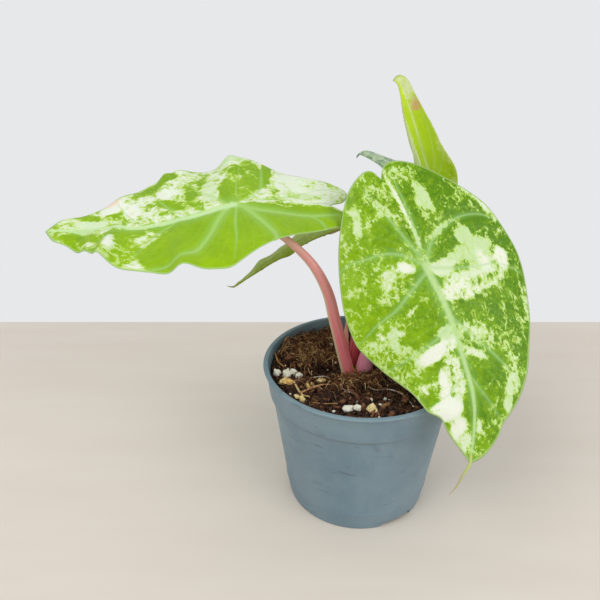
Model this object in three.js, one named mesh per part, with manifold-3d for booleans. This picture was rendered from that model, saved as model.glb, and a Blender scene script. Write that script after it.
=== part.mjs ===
// A young pink dragon alocasia in a grey nursery pot.
// Millimetres, +Z up. The origin is the middle of the pot's underside, and the viewer stands at -Y.
import * as THREE from "three";
import { mergeVertices } from "three/addons/utils/BufferGeometryUtils.js";
import Module from "manifold-3d";

// The pot: radii are of its outside. edge is how much its edges are rounded.
const POT = {
  colour: 0x75828a,
  height: 71.1,
  rimRadius: 45,
  lip: 1.6,
  collarTop: 44,
  collarFoot: 42.2,
  collarDepth: 14.5,
  bodyTop: 41,
  footRadius: 33.2,
  wall: 1.2,
  footWidth: 5,
  padRadius: 14,
  recess: 2.5,
  edge: 0.6,
  ringHeight: 9.5,
  ringWidth: 2,
  ringProud: 0.3,
  holes: 6,
  holeRadius: 3,
  holeCircle: 21,
  notches: 3,
  notchFrom: 16,
  notchTo: 46,
};
const POT_SEGMENTS = 48;
const HOLE_SEGMENTS = 12;
const NOTCH_SEGMENTS = 4;

// The clear space between two pieces that touch
const GAP = 0.4;

// The soil: its level falls towards the back by fall in each millimetre, and lumps stand up from it.
// Its top meets the pot's wall edgeAbove higher than the collar's foot, and stays belowRim.
const SOIL = {
  colour: 0x2a1a10,
  level: 64,
  fall: 0.081,
  reach: 41,
  edgeAbove: 3,
  belowRim: 1.5,
  rings: 13,
  clods: 60,
  clodRadius: [3, 7],
  clodHeight: [0.6, 2.6],
};
// The larger lumps that stand where they are seen: x, y, radius and height
const LUMPS = [
  [-37.2, -3.5, 3.4, 3.2],
  [-32.6, -0.8, 3.6, 3.4],
  [-30.6, 3.6, 3, 2.4],
  [-28, -2.6, 2.8, 2],
  [-33, -15, 3.6, 1.8],
  [-25.9, -23, 3.4, 1.6],
  [-7.5, -37, 3.4, 1.8],
  [1.4, -34.4, 2.8, 2.6],
  [-18, -7.5, 3.2, 1.8],
];
const HOLLOW = { x: -14.5, y: 2.5, radius: 7.5, depth: 4 };

// The blades: how thick they are in the middle and at the margin, how proud a main vein stands below,
// how far the blade swells between veins, and which spokes are veins. A wave of the margin dies away
// towards the stalk by wavePower.
const BLADE = { thick: 0.8, edge: 0.62, veinProud: 0.5, quilt: 0.35, veinEvery: 5, wavePower: 2.2 };
const MIDRIB_STEP = 0.5;
const PROBE = 0.05;

// The thread at a leaf's tip: where on the midrib it starts, and how thick it is
const DRIP = { start: 0.3, root: 2.5, radius: [[0, 0.75], [1, 0.35]], sides: 6, steps: 5 };

// How rough each surface is
const ROUGH = { pot: 0.6, soil: 0.95, blade: 0.5, stalk: 0.45, sheath: 0.6 };

// The leaves. A blade is drawn flat first, with the stalk's foot at 0, 0 and the tip up the y axis,
// and then laid on a bent midrib. Keys are pairs: a place on the midrib, and the value there.
// azimuth and pitch: where the midrib runs, in degrees, 0 being towards the viewer.
// faceAzimuth and faceElevation: where the upper side looks.
// fold and curl: how each half bends up from the midrib, in degrees, curl at a reach of curlReach.
// waves: side, place, width and height of each wave of the margin.
// drip: the thread at the tip, as offsets from it.
const LEAVES = {
  front: {
    colour: 0x7fae2e,
    stalk: [23.5, -11.2, 123],
    azimuth: [[-40, 40], [0, 42], [12, 42], [28, 27], [50, 20], [65, 0], [80, -12]],
    pitch: [[-40, -44], [0, -50], [40, -54], [85, -60]],
    faceAzimuth: [[0, 0]],
    faceElevation: [[0, 38]],
    foldRight: [[0, -3]],
    foldLeft: [[0, -3]],
    curlRight: [[0, -14]],
    curlLeft: [[0, -14]],
    curlReach: 35,
    waves: [[1, 60, 6, 2], [1, 40, 8, -1.5], [1, 2, 12, 1.5], [-1, 52, 9, 2], [-1, 22, 9, -1.5],
      [-1, -14, 10, 2]],
    right: [[0.6, 82], [9.5, 71], [13, 64], [17.5, 60.8], [19.5, 57], [22.8, 50], [33, 36.5], [39, 24],
      [39.5, 10], [36, -6], [28, -24.5], [15, -42], [8, -46.5], [3, -47.5], [0.7, -46], [-0.8, -41.5]],
    left: [[0.6, 82], [-4, 79], [-9.5, 72], [-12.3, 66.2], [-19.3, 58.3], [-26.3, 48], [-36, 28.8],
      [-41.5, 15], [-41.5, 3], [-38, -10], [-29, -28], [-16, -43], [-9, -46.7], [-5.5, -46.5],
      [-3, -44.5], [-0.8, -41.5]],
    around: 60,
    rings: 7,
    drip: [[-2.8, -2.1, -4.2], [-5.5, -4.2, -8.4], [-8.3, -5.6, -11.2]],
  },
  left: {
    colour: 0xb4cf7a,
    stalk: [-55.5, 0.6, 146.2],
    azimuth: [[-50, -66], [-35, -64], [-18, -71], [0, -80], [20, -80], [40, -94], [60, -96], [82, -92]],
    pitch: [[-50, 18], [-35, 10.5], [-18, 10], [0, -6], [18, -15], [40, -8], [60, -5], [82, -4]],
    faceAzimuth: [[0, 0]],
    faceElevation: [[-50, 64.5], [-35, 66], [-18, 73.5], [10, 74], [45, 75], [80, 68]],
    foldRight: [[0, 0]],
    foldLeft: [[0, 0]],
    curlRight: [[0, 0]],
    curlLeft: [[0, 0]],
    curlReach: 40,
    waves: [[1, 6.6, 10.4, -7.1], [1, -2.4, 4.2, 3], [1, -29, 7.2, -1.7], [1, 29.6, 6.5, 3.1],
      [1, 18.4, 4, 1.8], [1, 40.6, 6, 1.2], [1, 52.6, 4.5, 2.1], [-1, 47.9, 4, 5.5], [-1, 23.1, 3.8, 5],
      [-1, -10.8, 8.8, 2.4], [-1, 64, 4.5, -2.8], [-1, 26.3, 3.8, -2.2], [-1, 56, 5, 1.8], [-1, 6, 6, -1.3]],
    right: [[0, 80.4], [7, 75], [9, 67], [16, 57], [27, 45], [32, 34], [35.2, 21], [39.6, 7], [37.9, -8],
      [28.4, -24], [19, -38], [16.3, -47.2], [11.7, -56], [4, -52], [0, -44]],
    left: [[0, 80.4], [-6.4, 75], [-9.8, 67], [-16.4, 57], [-26, 45], [-31, 34], [-36, 21], [-38.5, 7],
      [-32.5, -8], [-21.5, -24], [-15.5, -38], [-12, -48], [-8, -52], [-3, -50], [0, -44]],
    around: 88,
    rings: 8,
  },
  young: {
    colour: 0xb7c94a,
    stalk: [31, 29.4, 147.1],
    azimuth: [[0, -90]],
    pitch: [[-18, 74], [0, 70], [36, 67], [44, 58], [48, 10]],
    faceAzimuth: [[0, -15]],
    faceElevation: [[0, 20]],
    foldRight: [[0, 10]],
    foldLeft: [[0, 10]],
    curlRight: [[-8, 30], [4, 45], [36, 110]],
    curlLeft: [[0, 130], [36, 260]],
    curlReach: 16,
    waves: [[1, 14, 8, 1], [1, -6, 6, -1]],
    right: [[0, 49], [3, 47], [4.5, 40], [7, 30], [10.3, 20], [13.4, 11], [13.6, 5], [11.6, -2], [8.8, -8],
      [4.5, -11], [0, -8]],
    left: [[0, 49], [-1.2, 46], [-3.2, 38], [-7, 27], [-11, 17], [-13.5, 8], [-13.5, 0], [-11, -6], [-8, -10],
      [-4, -11], [0, -8]],
    around: 40,
    rings: 6,
  },
  rear: {
    colour: 0x8aa884,
    stalk: [30.4, 53.2, 139.5],
    azimuth: [[0, -117]],
    pitch: [[-20, 30], [0, 28], [24, 18], [32, 6], [35, -45], [38, -75]],
    faceAzimuth: [[0, 0]],
    faceElevation: [[0, 88]],
    foldRight: [[0, -6]],
    foldLeft: [[0, -6]],
    curlRight: [[0, -20]],
    curlLeft: [[0, -20]],
    curlReach: 16,
    waves: [[1, 14, 7, 1.2], [-1, 20, 7, 1.2]],
    right: [[0, 38], [3.5, 36], [8, 28], [13, 16], [15, 4], [14, -8], [9, -17], [4, -18.5], [0, -14]],
    left: [[0, 38], [-2.6, 36], [-4.8, 28], [-8.6, 16], [-12, 4], [-12, -8], [-8, -16],
      [-3.5, -18], [0, -14]],
    around: 36,
    rings: 5,
  },
  back: {
    colour: 0x7c8f1e,
    stalk: [-19.5, 36.6, 121.6],
    azimuth: [[0, -74]],
    pitch: [[-14, 12], [0, -16], [22, -33], [50, -34]],
    faceAzimuth: [[0, 180]],
    faceElevation: [[0, 81]],
    foldRight: [[-2, 8], [14, -5]],
    foldLeft: [[0, -2]],
    curlRight: [[-2, 4], [14, -10]],
    curlLeft: [[0, -8]],
    curlReach: 14,
    waves: [[1, 32, 4, 1.6], [-1, 18, 4, -1.4]],
    right: [[0, 49], [3, 43], [7, 32], [10.5, 20], [12, 7], [11.5, -3], [8, -10], [4, -11.5], [0, -8]],
    left: [[0, 49], [-2.4, 43], [-5.5, 32], [-8.5, 20], [-10, 7], [-10, -3], [-7, -9], [-3.5, -11], [0, -8]],
    around: 36,
    rings: 5,
    drip: [[-1.2, -0.3, 0], [-2.3, -0.4, 0.3], [-3.2, -0.5, 0.6]],
  },
};

// The leaf stalks, from their foot in the soil to the blade. radius: pairs of a share of the length
// and the radius there. wing: the sheath's edge, which stands proud on one side of the foot.
const STALKS = {
  front: {
    colour: 0xb0607f,
    path: [[2.4, 2.4, 45], [2.4, 2.4, 62], [4, 2, 78], [9, 0, 96], [17, -4.6, 113]],
    radius: [[0, 3.3], [0.3, 3.3], [0.6, 2.7], [1, 2.2]],
  },
  left: {
    colour: 0xc9707c,
    path: [[-5.2, 0, 45], [-5.2, 0, 62], [-8.7, 0, 77.3], [-12.5, 0, 92.4], [-16, 0, 106.2],
      [-22.1, 0, 118.4], [-29.8, 0, 127.2], [-40.5, 0, 136]],
    radius: [[0, 2.7], [0.25, 2.7], [0.5, 2.4], [0.66, 1.95], [0.82, 1.55], [1, 1.45]],
    wing: { towards: [-1, -0.35, 0], proud: 0.9, until: 0.72 },
  },
  young: {
    colour: 0xc79a86,
    path: [[5.4, 9.6, 45], [5.4, 9.6, 62], [8, 13, 84], [16, 22.5, 112], [26.5, 33, 137]],
    radius: [[0, 2.7], [0.5, 2.3], [1, 1.8]],
  },
  rear: {
    colour: 0xb97a72,
    path: [[0.6, 15, 45], [0.6, 15, 62], [5, 21, 86], [14, 34, 112], [25, 48.5, 131]],
    radius: [[0, 2.4], [0.5, 2], [1, 1.6]],
  },
  back: {
    colour: 0xb2505c,
    path: [[-3.4, 9.4, 45], [-3.4, 9.4, 64], [-1.5, 13, 77.3], [0.6, 18, 88], [1.8, 25, 100.5],
      [1.6, 35, 110.5], [-1, 44, 116.5], [-7, 48, 118.6], [-13.5, 43.5, 118.2]],
    radius: [[0, 2.6], [0.5, 2.1], [1, 1.6]],
  },
};
const STALK_SIDES = 10;
const STALK_STEPS = 22;

// The papery sheath between the stalks' feet
const SHEATH = {
  colour: 0xd9a093,
  path: [[-7, 6.2, 50], [-7, 6.2, 62], [-7, 7.4, 72], [-6.6, 9, 80], [-6.6, 10, 86]],
  radius: [[0, 1.7], [0.5, 2.1], [0.8, 1.3], [1, 0.35]],
  flat: 0.5,
  across: [1, -0.3, 0],
  sides: 8,
  steps: 12,
};

const wasm = await Module();
wasm.setup();

const radians = THREE.MathUtils.degToRad;
const vector = (p) => new THREE.Vector3(...p);

// The value at a place on a smooth line through keys, level past its ends
function along(keys, place) {
  const last = keys.length - 1;
  if (place <= keys[0][0]) return keys[0][1];
  if (place >= keys[last][0]) return keys[last][1];
  const slope = (i) => {
    const a = keys[Math.max(i - 1, 0)];
    const b = keys[Math.min(i + 1, last)];
    return (b[1] - a[1]) / (b[0] - a[0]);
  };
  const i = keys.findIndex((key) => key[0] > place) - 1;
  const [x0, y0] = keys[i];
  const [x1, y1] = keys[i + 1];
  const h = x1 - x0;
  const t = (place - x0) / h;
  const bend = t * (1 - t) * h;
  return y0 + (y1 - y0) * t * t * (3 - 2 * t) + bend * ((1 - t) * slope(i) - t * slope(i + 1));
}

// A closed body from corners and triangles, with like corners merged
function solid(corners, triangles) {
  const raw = new THREE.BufferGeometry();
  raw.setAttribute("position", new THREE.BufferAttribute(new Float32Array(corners.flat()), 3));
  raw.setIndex(triangles.flat());
  return solidOf(raw);
}

// The same from a geometry of three.js
function solidOf(geometry) {
  const bare = geometry.clone();
  bare.deleteAttribute("normal");
  bare.deleteAttribute("uv");
  const merged = mergeVertices(bare, 1e-4);
  const index = merged.index.array;
  const kept = [];
  for (let i = 0; i < index.length; i += 3) {
    const [a, b, c] = [index[i], index[i + 1], index[i + 2]];
    if (a !== b && b !== c && a !== c) kept.push(a, b, c);
  }
  return new wasm.Manifold(
    new wasm.Mesh({
      numProp: 3,
      vertProperties: merged.attributes.position.array,
      triVerts: new Uint32Array(kept),
    }),
  );
}

// A three.js mesh from a body
function meshOf(body, name, colour, roughness) {
  const made = body.getMesh();
  const geometry = new THREE.BufferGeometry();
  geometry.setAttribute("position", new THREE.BufferAttribute(made.vertProperties, 3));
  geometry.setIndex(new THREE.BufferAttribute(made.triVerts, 1));
  geometry.computeVertexNormals();
  const material = new THREE.MeshStandardMaterial({ color: colour, roughness, metalness: 0 });
  const mesh = new THREE.Mesh(geometry, material);
  mesh.name = name;
  return mesh;
}

// The radius of the pot's inside at a height. The wall steps out at the collar.
const COLLAR_FOOT = POT.height - POT.collarDepth;
const potWallAt = (z) => {
  const { mapLinear } = THREE.MathUtils;
  if (z > COLLAR_FOOT) return mapLinear(z, COLLAR_FOOT, POT.height, POT.collarFoot, POT.collarTop) - POT.wall;
  return mapLinear(z, 0, COLLAR_FOOT, POT.footRadius, POT.bodyTop) - POT.wall;
};

// The pot: turned, with drain holes in its floor and notches in its foot
function pot() {
  const { edge, recess, height } = POT;
  const floor = recess + POT.wall;
  const footInside = POT.footRadius - POT.footWidth;
  const lipFoot = height - POT.lip;
  const outside = (z, proud = 0) => [potWallAt(z) + POT.wall + proud, z];
  const inside = (z) => [potWallAt(z), z];
  const profile = [
    [0, 0],
    [POT.padRadius, 0],
    [POT.padRadius + edge, recess],
    [footInside - edge, recess],
    [footInside, 0],
    [POT.footRadius - edge, 0],
    outside(edge),
    outside(POT.ringHeight - POT.ringWidth / 2),
    outside(POT.ringHeight, POT.ringProud),
    outside(POT.ringHeight + POT.ringWidth / 2),
    outside(COLLAR_FOOT - edge / 2),
    [POT.collarFoot - edge / 2, COLLAR_FOOT],
    outside(COLLAR_FOOT + edge / 2),
    [POT.collarTop, lipFoot - edge],
    [POT.rimRadius - edge / 3, lipFoot],
    [POT.rimRadius, height - edge],
    [POT.rimRadius - edge, height],
    [potWallAt(height) + edge, height],
    inside(height - edge),
    inside(COLLAR_FOOT + edge),
    inside(COLLAR_FOOT - edge),
    inside(floor),
    [0, floor],
  ];
  const turned = new THREE.LatheGeometry(profile.map(([r, z]) => new THREE.Vector2(r, z)), POT_SEGMENTS);
  turned.rotateX(Math.PI / 2);
  let body = solidOf(turned);
  for (let i = 0; i < POT.holes; i += 1) {
    const turn = (i / POT.holes) * 2 * Math.PI;
    const drill = new THREE.CylinderGeometry(POT.holeRadius, POT.holeRadius, 4 * POT.wall, HOLE_SEGMENTS);
    drill.rotateX(Math.PI / 2);
    drill.translate(POT.holeCircle * Math.cos(turn), POT.holeCircle * Math.sin(turn), floor);
    body = body.subtract(solidOf(drill));
  }
  for (let i = 0; i < POT.notches; i += 1) {
    const from = radians(POT.notchFrom - 90 + (i * 360) / POT.notches);
    const to = radians(POT.notchTo - 90 + (i * 360) / POT.notches);
    const sector = new THREE.Shape();
    sector.absarc(0, 0, POT.footRadius + edge, from, to, false);
    sector.absarc(0, 0, footInside - 2 * edge, to, from, true);
    const cut = new THREE.ExtrudeGeometry(sector, {
      depth: recess + edge,
      bevelEnabled: false,
      curveSegments: NOTCH_SEGMENTS,
    });
    cut.translate(0, 0, -edge);
    body = body.subtract(solidOf(cut));
  }
  return body;
}

// An even scatter between 0 and 1 for the soil's lumps, the same each time
const scatter = (i, k) => {
  const value = Math.sin(i * 12.9898 + k * 78.233) * 43758.5453;
  return value - Math.floor(value);
};

function clods() {
  const list = LUMPS.map(([x, y, radius, height]) => ({ x, y, radius, height }));
  const [small, large] = SOIL.clodRadius;
  const [low, high] = SOIL.clodHeight;
  for (let i = 0; i < SOIL.clods; i += 1) {
    const reach = SOIL.reach * Math.sqrt(scatter(i, 1));
    const turn = 2 * Math.PI * scatter(i, 2);
    list.push({
      x: reach * Math.cos(turn),
      y: reach * Math.sin(turn),
      radius: small + (large - small) * scatter(i, 3),
      height: low + (high - low) * scatter(i, 4) ** 2,
    });
  }
  list.push({ ...HOLLOW, height: -HOLLOW.depth });
  return list;
}

function soilTop(lumps, x, y) {
  let z = SOIL.level - SOIL.fall * y;
  for (const lump of lumps) {
    const share = 1 - Math.min(1, Math.hypot(x - lump.x, y - lump.y) / lump.radius) ** 2;
    z += lump.height * share * share;
  }
  return Math.min(z, POT.height - SOIL.belowRim);
}

function soil(holes) {
  const lumps = clods();
  const corners = [[0, 0, soilTop(lumps, 0, 0)]];
  const around = POT_SEGMENTS;
  const ring = (radius, height) => {
    for (let i = 0; i < around; i += 1) {
      const turn = (i / around) * 2 * Math.PI;
      const [x, y] = [Math.cos(turn), Math.sin(turn)];
      const z = height === null ? soilTop(lumps, radius * x, radius * y) : height;
      const r = radius === null ? potWallAt(z) - GAP : radius;
      corners.push([r * x, r * y, z]);
    }
  };
  const rimOfSoil = potWallAt(COLLAR_FOOT + SOIL.edgeAbove) - GAP;
  for (let i = 1; i <= SOIL.rings; i += 1) ring((rimOfSoil * i) / SOIL.rings, null);
  const floor = POT.recess + POT.wall + GAP;
  const wallHeights = [COLLAR_FOOT + POT.edge, COLLAR_FOOT - POT.edge, floor];
  for (const height of wallHeights) ring(null, height);
  const rings = SOIL.rings + wallHeights.length;
  corners.push([0, 0, floor]);
  const bottom = corners.length - 1;
  const at = (r, i) => 1 + (r - 1) * around + (i % around);
  const triangles = [];
  for (let i = 0; i < around; i += 1) {
    triangles.push([0, at(1, i), at(1, i + 1)]);
    for (let r = 1; r < rings; r += 1) {
      triangles.push([at(r, i), at(r + 1, i), at(r + 1, i + 1)], [at(r, i), at(r + 1, i + 1), at(r, i + 1)]);
    }
    triangles.push([at(rings, i), bottom, at(rings, i + 1)]);
  }
  let body = solid(corners, triangles);
  for (const hole of holes) body = body.subtract(hole);
  return body;
}

// The midrib: where it lies and how the blade faces there
class Midrib {
  constructor(leaf) {
    this.leaf = leaf;
    const places = [...leaf.right, ...leaf.left].map((p) => p[1]);
    this.from = Math.floor(Math.min(...places)) - 1;
    this.to = Math.ceil(Math.max(...places)) + 1;
    this.points = new Map([[0, vector(leaf.stalk)]]);
    for (const sign of [-1, 1]) {
      const end = sign < 0 ? -this.from : this.to;
      const here = vector(leaf.stalk);
      for (let i = 1; i <= end / MIDRIB_STEP; i += 1) {
        here.addScaledVector(this.direction(sign * (i - 0.5) * MIDRIB_STEP), sign * MIDRIB_STEP);
        this.points.set(sign * i, here.clone());
      }
    }
  }

  direction(place) {
    const azimuth = radians(along(this.leaf.azimuth, place));
    const pitch = radians(along(this.leaf.pitch, place));
    const flat = Math.cos(pitch);
    return new THREE.Vector3(flat * Math.sin(azimuth), -flat * Math.cos(azimuth), Math.sin(pitch));
  }

  // The middle, the direction of the midrib, the blade's right and its upper side
  frame(place) {
    const scaled = THREE.MathUtils.clamp(place, this.from, this.to) / MIDRIB_STEP;
    const low = Math.min(Math.floor(scaled), this.to / MIDRIB_STEP - 1);
    const middle = this.points.get(low).clone().lerp(this.points.get(low + 1), scaled - low);
    const forward = this.direction(place);
    const azimuth = radians(along(this.leaf.faceAzimuth, place));
    const elevation = radians(along(this.leaf.faceElevation, place));
    const flat = Math.cos(elevation);
    const up = new THREE.Vector3(flat * Math.sin(azimuth), -flat * Math.cos(azimuth), Math.sin(elevation));
    up.addScaledVector(forward, -up.dot(forward)).normalize();
    const right = new THREE.Vector3().crossVectors(forward, up);
    return { middle, forward, right, up };
  }
}

// A point of the flat blade laid on its midrib. share: how far from the stalk to the margin it is.
function laid(leaf, midrib, x, y, share) {
  const { middle, right, up } = midrib.frame(y);
  const side = x < 0 ? -1 : 1;
  const fold = radians(along(side > 0 ? leaf.foldRight : leaf.foldLeft, y));
  const bend = radians(along(side > 0 ? leaf.curlRight : leaf.curlLeft, y)) / leaf.curlReach || 1e-6;
  const angle = fold + bend * Math.abs(x);
  const across = (side * (Math.sin(angle) - Math.sin(fold))) / bend;
  const lift = (Math.cos(fold) - Math.cos(angle)) / bend;
  const normal = up.clone().multiplyScalar(Math.cos(angle)).addScaledVector(right, -side * Math.sin(angle));
  let wave = 0;
  for (const [which, place, width, height] of leaf.waves) {
    if (which === side) wave += height * Math.exp(-(((y - place) / width) ** 2));
  }
  const point = middle.clone().addScaledVector(right, across).addScaledVector(up, lift);
  return point.addScaledVector(normal, wave * share ** BLADE.wavePower);
}

// The margin as flat points: from the tip down the right side to the notch and back up the left side
function margin(leaf) {
  const side = (points, count) => {
    const corners = points.map(([x, y]) => new THREE.Vector3(x, y, 0));
    const curve = new THREE.CatmullRomCurve3(corners, false, "centripetal");
    return curve.getSpacedPoints(count).map((p) => [p.x, p.y]);
  };
  const half = leaf.around / 2;
  const right = side(leaf.right, half);
  const left = side(leaf.left, half);
  return [...right.slice(0, half), ...left.reverse().slice(0, half)];
}

// A blade: spokes from the stalk to the margin, every few of them a vein, with a wall round the margin
function blade(leaf) {
  const midrib = new Midrib(leaf);
  const edge = margin(leaf);
  const around = edge.length;
  const upper = [];
  const lower = [];
  const place = (x, y, share, spoke) => {
    const point = laid(leaf, midrib, x, y, share);
    const eastward = laid(leaf, midrib, x + PROBE, y, share).sub(laid(leaf, midrib, x - PROBE, y, share));
    const northward = laid(leaf, midrib, x, y + PROBE, share).sub(laid(leaf, midrib, x, y - PROBE, share));
    const normal = eastward.cross(northward).normalize();
    const vein = spoke % BLADE.veinEvery === 0 ? 1 - share : 0;
    const between = spoke % BLADE.veinEvery === 0 ? 0 : Math.min(1, 4 * share * (1 - share));
    const half = THREE.MathUtils.lerp(BLADE.thick, BLADE.edge, share) / 2;
    const swell = BLADE.quilt * between;
    upper.push(point.clone().addScaledVector(normal, half + swell).toArray());
    lower.push(point.clone().addScaledVector(normal, swell - half - BLADE.veinProud * vein).toArray());
  };
  place(0, 0, 0, 0);
  for (let r = 1; r <= leaf.rings; r += 1) {
    const share = r / leaf.rings;
    edge.forEach(([x, y], spoke) => place(x * share, y * share, share, spoke));
  }
  const at = (r, i) => 1 + (r - 1) * around + (i % around);
  const count = upper.length;
  const triangles = [];
  const both = (a, b, c) => triangles.push([a, c, b], [a + count, b + count, c + count]);
  for (let i = 0; i < around; i += 1) {
    both(0, at(1, i), at(1, i + 1));
    for (let r = 1; r < leaf.rings; r += 1) {
      both(at(r, i), at(r + 1, i), at(r + 1, i + 1));
      both(at(r, i), at(r + 1, i + 1), at(r, i + 1));
    }
    const [a, b] = [at(leaf.rings, i), at(leaf.rings, i + 1)];
    triangles.push([a, b, b + count], [a, b + count, a + count]);
  }
  let body = solid([...upper, ...lower], triangles);
  if (leaf.drip) {
    const [x, y] = leaf.right[0];
    const tip = laid(leaf, midrib, x, y - DRIP.start, 1);
    const root = laid(leaf, midrib, x, y - DRIP.root, 1);
    const points = [root, tip, ...leaf.drip.map((offset) => tip.clone().add(vector(offset)))];
    body = body.add(tube({ ...DRIP, path: points.map((p) => p.toArray()) }));
  }
  return body;
}

// A stalk: a tube whose ends are flat. grow makes it fatter and longer at the foot, for its hole.
// seat: the point and upper side of the blade that it ends under.
function tube(stalk, { grow = 0, seat = null } = {}) {
  const { sides, steps } = stalk;
  const points = stalk.path.map(vector);
  if (seat) points.push(seat.middle.clone().addScaledVector(seat.up, -seat.drop));
  const curve = new THREE.CatmullRomCurve3(points, false, "centripetal");
  const reference = vector(stalk.across ?? stalk.wing?.towards ?? [1, 0, 0]).normalize();
  const corners = [];
  for (let i = 0; i <= steps; i += 1) {
    const share = i / steps;
    const forward = curve.getTangentAt(share);
    const middle = curve.getPointAt(share);
    if (i === 0) middle.addScaledVector(forward, -grow);
    const flatTo = seat && i === steps ? seat.up : forward;
    const right = reference.clone().addScaledVector(flatTo, -reference.dot(flatTo)).normalize();
    const up = new THREE.Vector3().crossVectors(flatTo, right);
    const radius = along(stalk.radius, share) + grow;
    for (let k = 0; k < sides; k += 1) {
      const turn = (k / sides) * 2 * Math.PI;
      let reach = radius;
      if (stalk.wing && k === 0) reach += stalk.wing.proud * Math.max(0, 1 - share / stalk.wing.until);
      const [u, v] = [reach * Math.cos(turn), reach * Math.sin(turn) * (stalk.flat ?? 1)];
      corners.push(middle.clone().addScaledVector(right, u).addScaledVector(up, v).toArray());
    }
  }
  const at = (i, k) => i * sides + (k % sides);
  const triangles = [];
  for (let i = 0; i < steps; i += 1) {
    for (let k = 0; k < sides; k += 1) {
      triangles.push([at(i, k), at(i, k + 1), at(i + 1, k + 1)], [at(i, k), at(i + 1, k + 1), at(i + 1, k)]);
    }
  }
  for (let k = 1; k < sides - 1; k += 1) {
    triangles.push([at(0, 0), at(0, k + 1), at(0, k)], [at(steps, 0), at(steps, k), at(steps, k + 1)]);
  }
  return solid(corners, triangles);
}

function stalkOf(name, grow = 0) {
  const { middle, up } = new Midrib(LEAVES[name]).frame(0);
  const seat = { middle, up, drop: BLADE.thick / 2 + BLADE.veinProud + GAP };
  return tube({ sides: STALK_SIDES, steps: STALK_STEPS, ...STALKS[name] }, { grow, seat });
}

const plant = new THREE.Group();
plant.add(meshOf(pot(), "pot", POT.colour, ROUGH.pot));

const leaves = new THREE.Group();
const holes = [];
for (const [name, leaf] of Object.entries(LEAVES)) {
  leaves.add(meshOf(blade(leaf), `blade_${name}`, leaf.colour, ROUGH.blade));
  leaves.add(meshOf(stalkOf(name), `petiole_${name}`, STALKS[name].colour, ROUGH.stalk));
  holes.push(stalkOf(name, GAP));
}
leaves.add(meshOf(tube(SHEATH), "sheath", SHEATH.colour, ROUGH.sheath));
holes.push(tube(SHEATH, { grow: GAP }));
plant.add(leaves);
plant.add(meshOf(soil(holes), "soil", SOIL.colour, ROUGH.soil));

export default plant;
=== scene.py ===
# %% [markdown]
# # A young pink dragon alocasia in its nursery pot
# The real thing is a small house plant: two large heart-shaped leaves splashed with cream, three
# small ones behind them, pink stalks, dark fibrous soil, and a grey plastic pot 9 cm across.
# The solids already stand in the frame, so this lesson only dresses them. Everything here is in
# metres, but the sizes of a plant are easiest to think of in millimetres, so MM turns one to the other.

# %% Load the frame
import math

import bmesh
import bpy
import numpy as np
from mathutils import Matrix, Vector, noise


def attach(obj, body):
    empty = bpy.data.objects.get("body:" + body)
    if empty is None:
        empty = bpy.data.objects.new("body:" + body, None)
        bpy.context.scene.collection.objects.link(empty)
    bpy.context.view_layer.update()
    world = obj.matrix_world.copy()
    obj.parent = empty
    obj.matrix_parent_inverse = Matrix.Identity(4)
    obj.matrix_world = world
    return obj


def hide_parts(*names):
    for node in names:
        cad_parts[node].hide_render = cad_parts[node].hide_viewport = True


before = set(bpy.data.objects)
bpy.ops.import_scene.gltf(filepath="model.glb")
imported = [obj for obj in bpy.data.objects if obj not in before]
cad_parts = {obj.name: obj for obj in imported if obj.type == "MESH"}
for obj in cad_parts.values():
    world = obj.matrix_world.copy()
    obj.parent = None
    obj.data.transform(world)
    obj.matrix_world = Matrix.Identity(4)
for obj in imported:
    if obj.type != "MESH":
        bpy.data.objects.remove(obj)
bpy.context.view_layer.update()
MM = 0.001

# %% [markdown]
# ## Smooth lines through a few points
# Leaves and stalks are full of slow curves. Each is drawn from a few keys, and two helpers
# fill in the rest: one reads a value off a smooth line through keys, the other spaces points evenly
# along a curve through points. Written here, they give the same line as the solids have.

# %% Lines through keys and points
def along(keys, place):
    """The value at a place on a smooth line through keys, level past its ends."""
    at, value = np.array(keys, float).T
    place = np.asarray(place, float)
    if len(at) == 1:
        return np.full_like(place, value[0])
    index = np.arange(len(at))
    before = np.maximum(index - 1, 0)
    after = np.minimum(index + 1, len(at) - 1)
    slope = (value[after] - value[before]) / (at[after] - at[before])
    k = np.clip(np.searchsorted(at, place, side="right") - 1, 0, len(at) - 2)
    step = at[k + 1] - at[k]
    t = np.clip((place - at[k]) / step, 0, 1)
    bend = t * (1 - t) * step
    rise = (value[k + 1] - value[k]) * t * t * (3 - 2 * t)
    return value[k] + rise + bend * ((1 - t) * slope[k] - t * slope[k + 1])


def curve_through(points, count, fine=24):
    """count + 1 points, evenly spaced on a centripetal Catmull-Rom curve through the given ones."""
    p = np.array(points, float)
    p = np.vstack([2 * p[0] - p[1], p, 2 * p[-1] - p[-2]])
    t = np.linspace(0, 1, fine, endpoint=False)[:, None]
    pieces = []
    for p0, p1, p2, p3 in zip(p, p[1:], p[2:], p[3:]):
        a, b, c = (max(np.linalg.norm(q - r), 1e-9) ** 0.5 for q, r in ((p1, p0), (p2, p1), (p3, p2)))
        start = ((p1 - p0) / a - (p2 - p0) / (a + b) + (p2 - p1) / b) * b
        end = ((p2 - p1) / b - (p3 - p1) / (b + c) + (p3 - p2) / c) * b
        ends = (2 * t**3 - 3 * t**2 + 1) * p1 + (3 * t**2 - 2 * t**3) * p2
        pieces.append(ends + (t**3 - 2 * t**2 + t) * start + (t**3 - t**2) * end)
    line = np.vstack([*pieces, p[-2]])
    run = np.concatenate([[0], np.cumsum(np.linalg.norm(np.diff(line, axis=0), axis=1))])
    even = np.linspace(0, run[-1], count + 1)
    return np.stack([np.interp(even, run, line[:, k]) for k in range(line.shape[1])], axis=1)


print("halfway between keys 0 and 10:", along([(0, 0), (10, 1)], 5))

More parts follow.
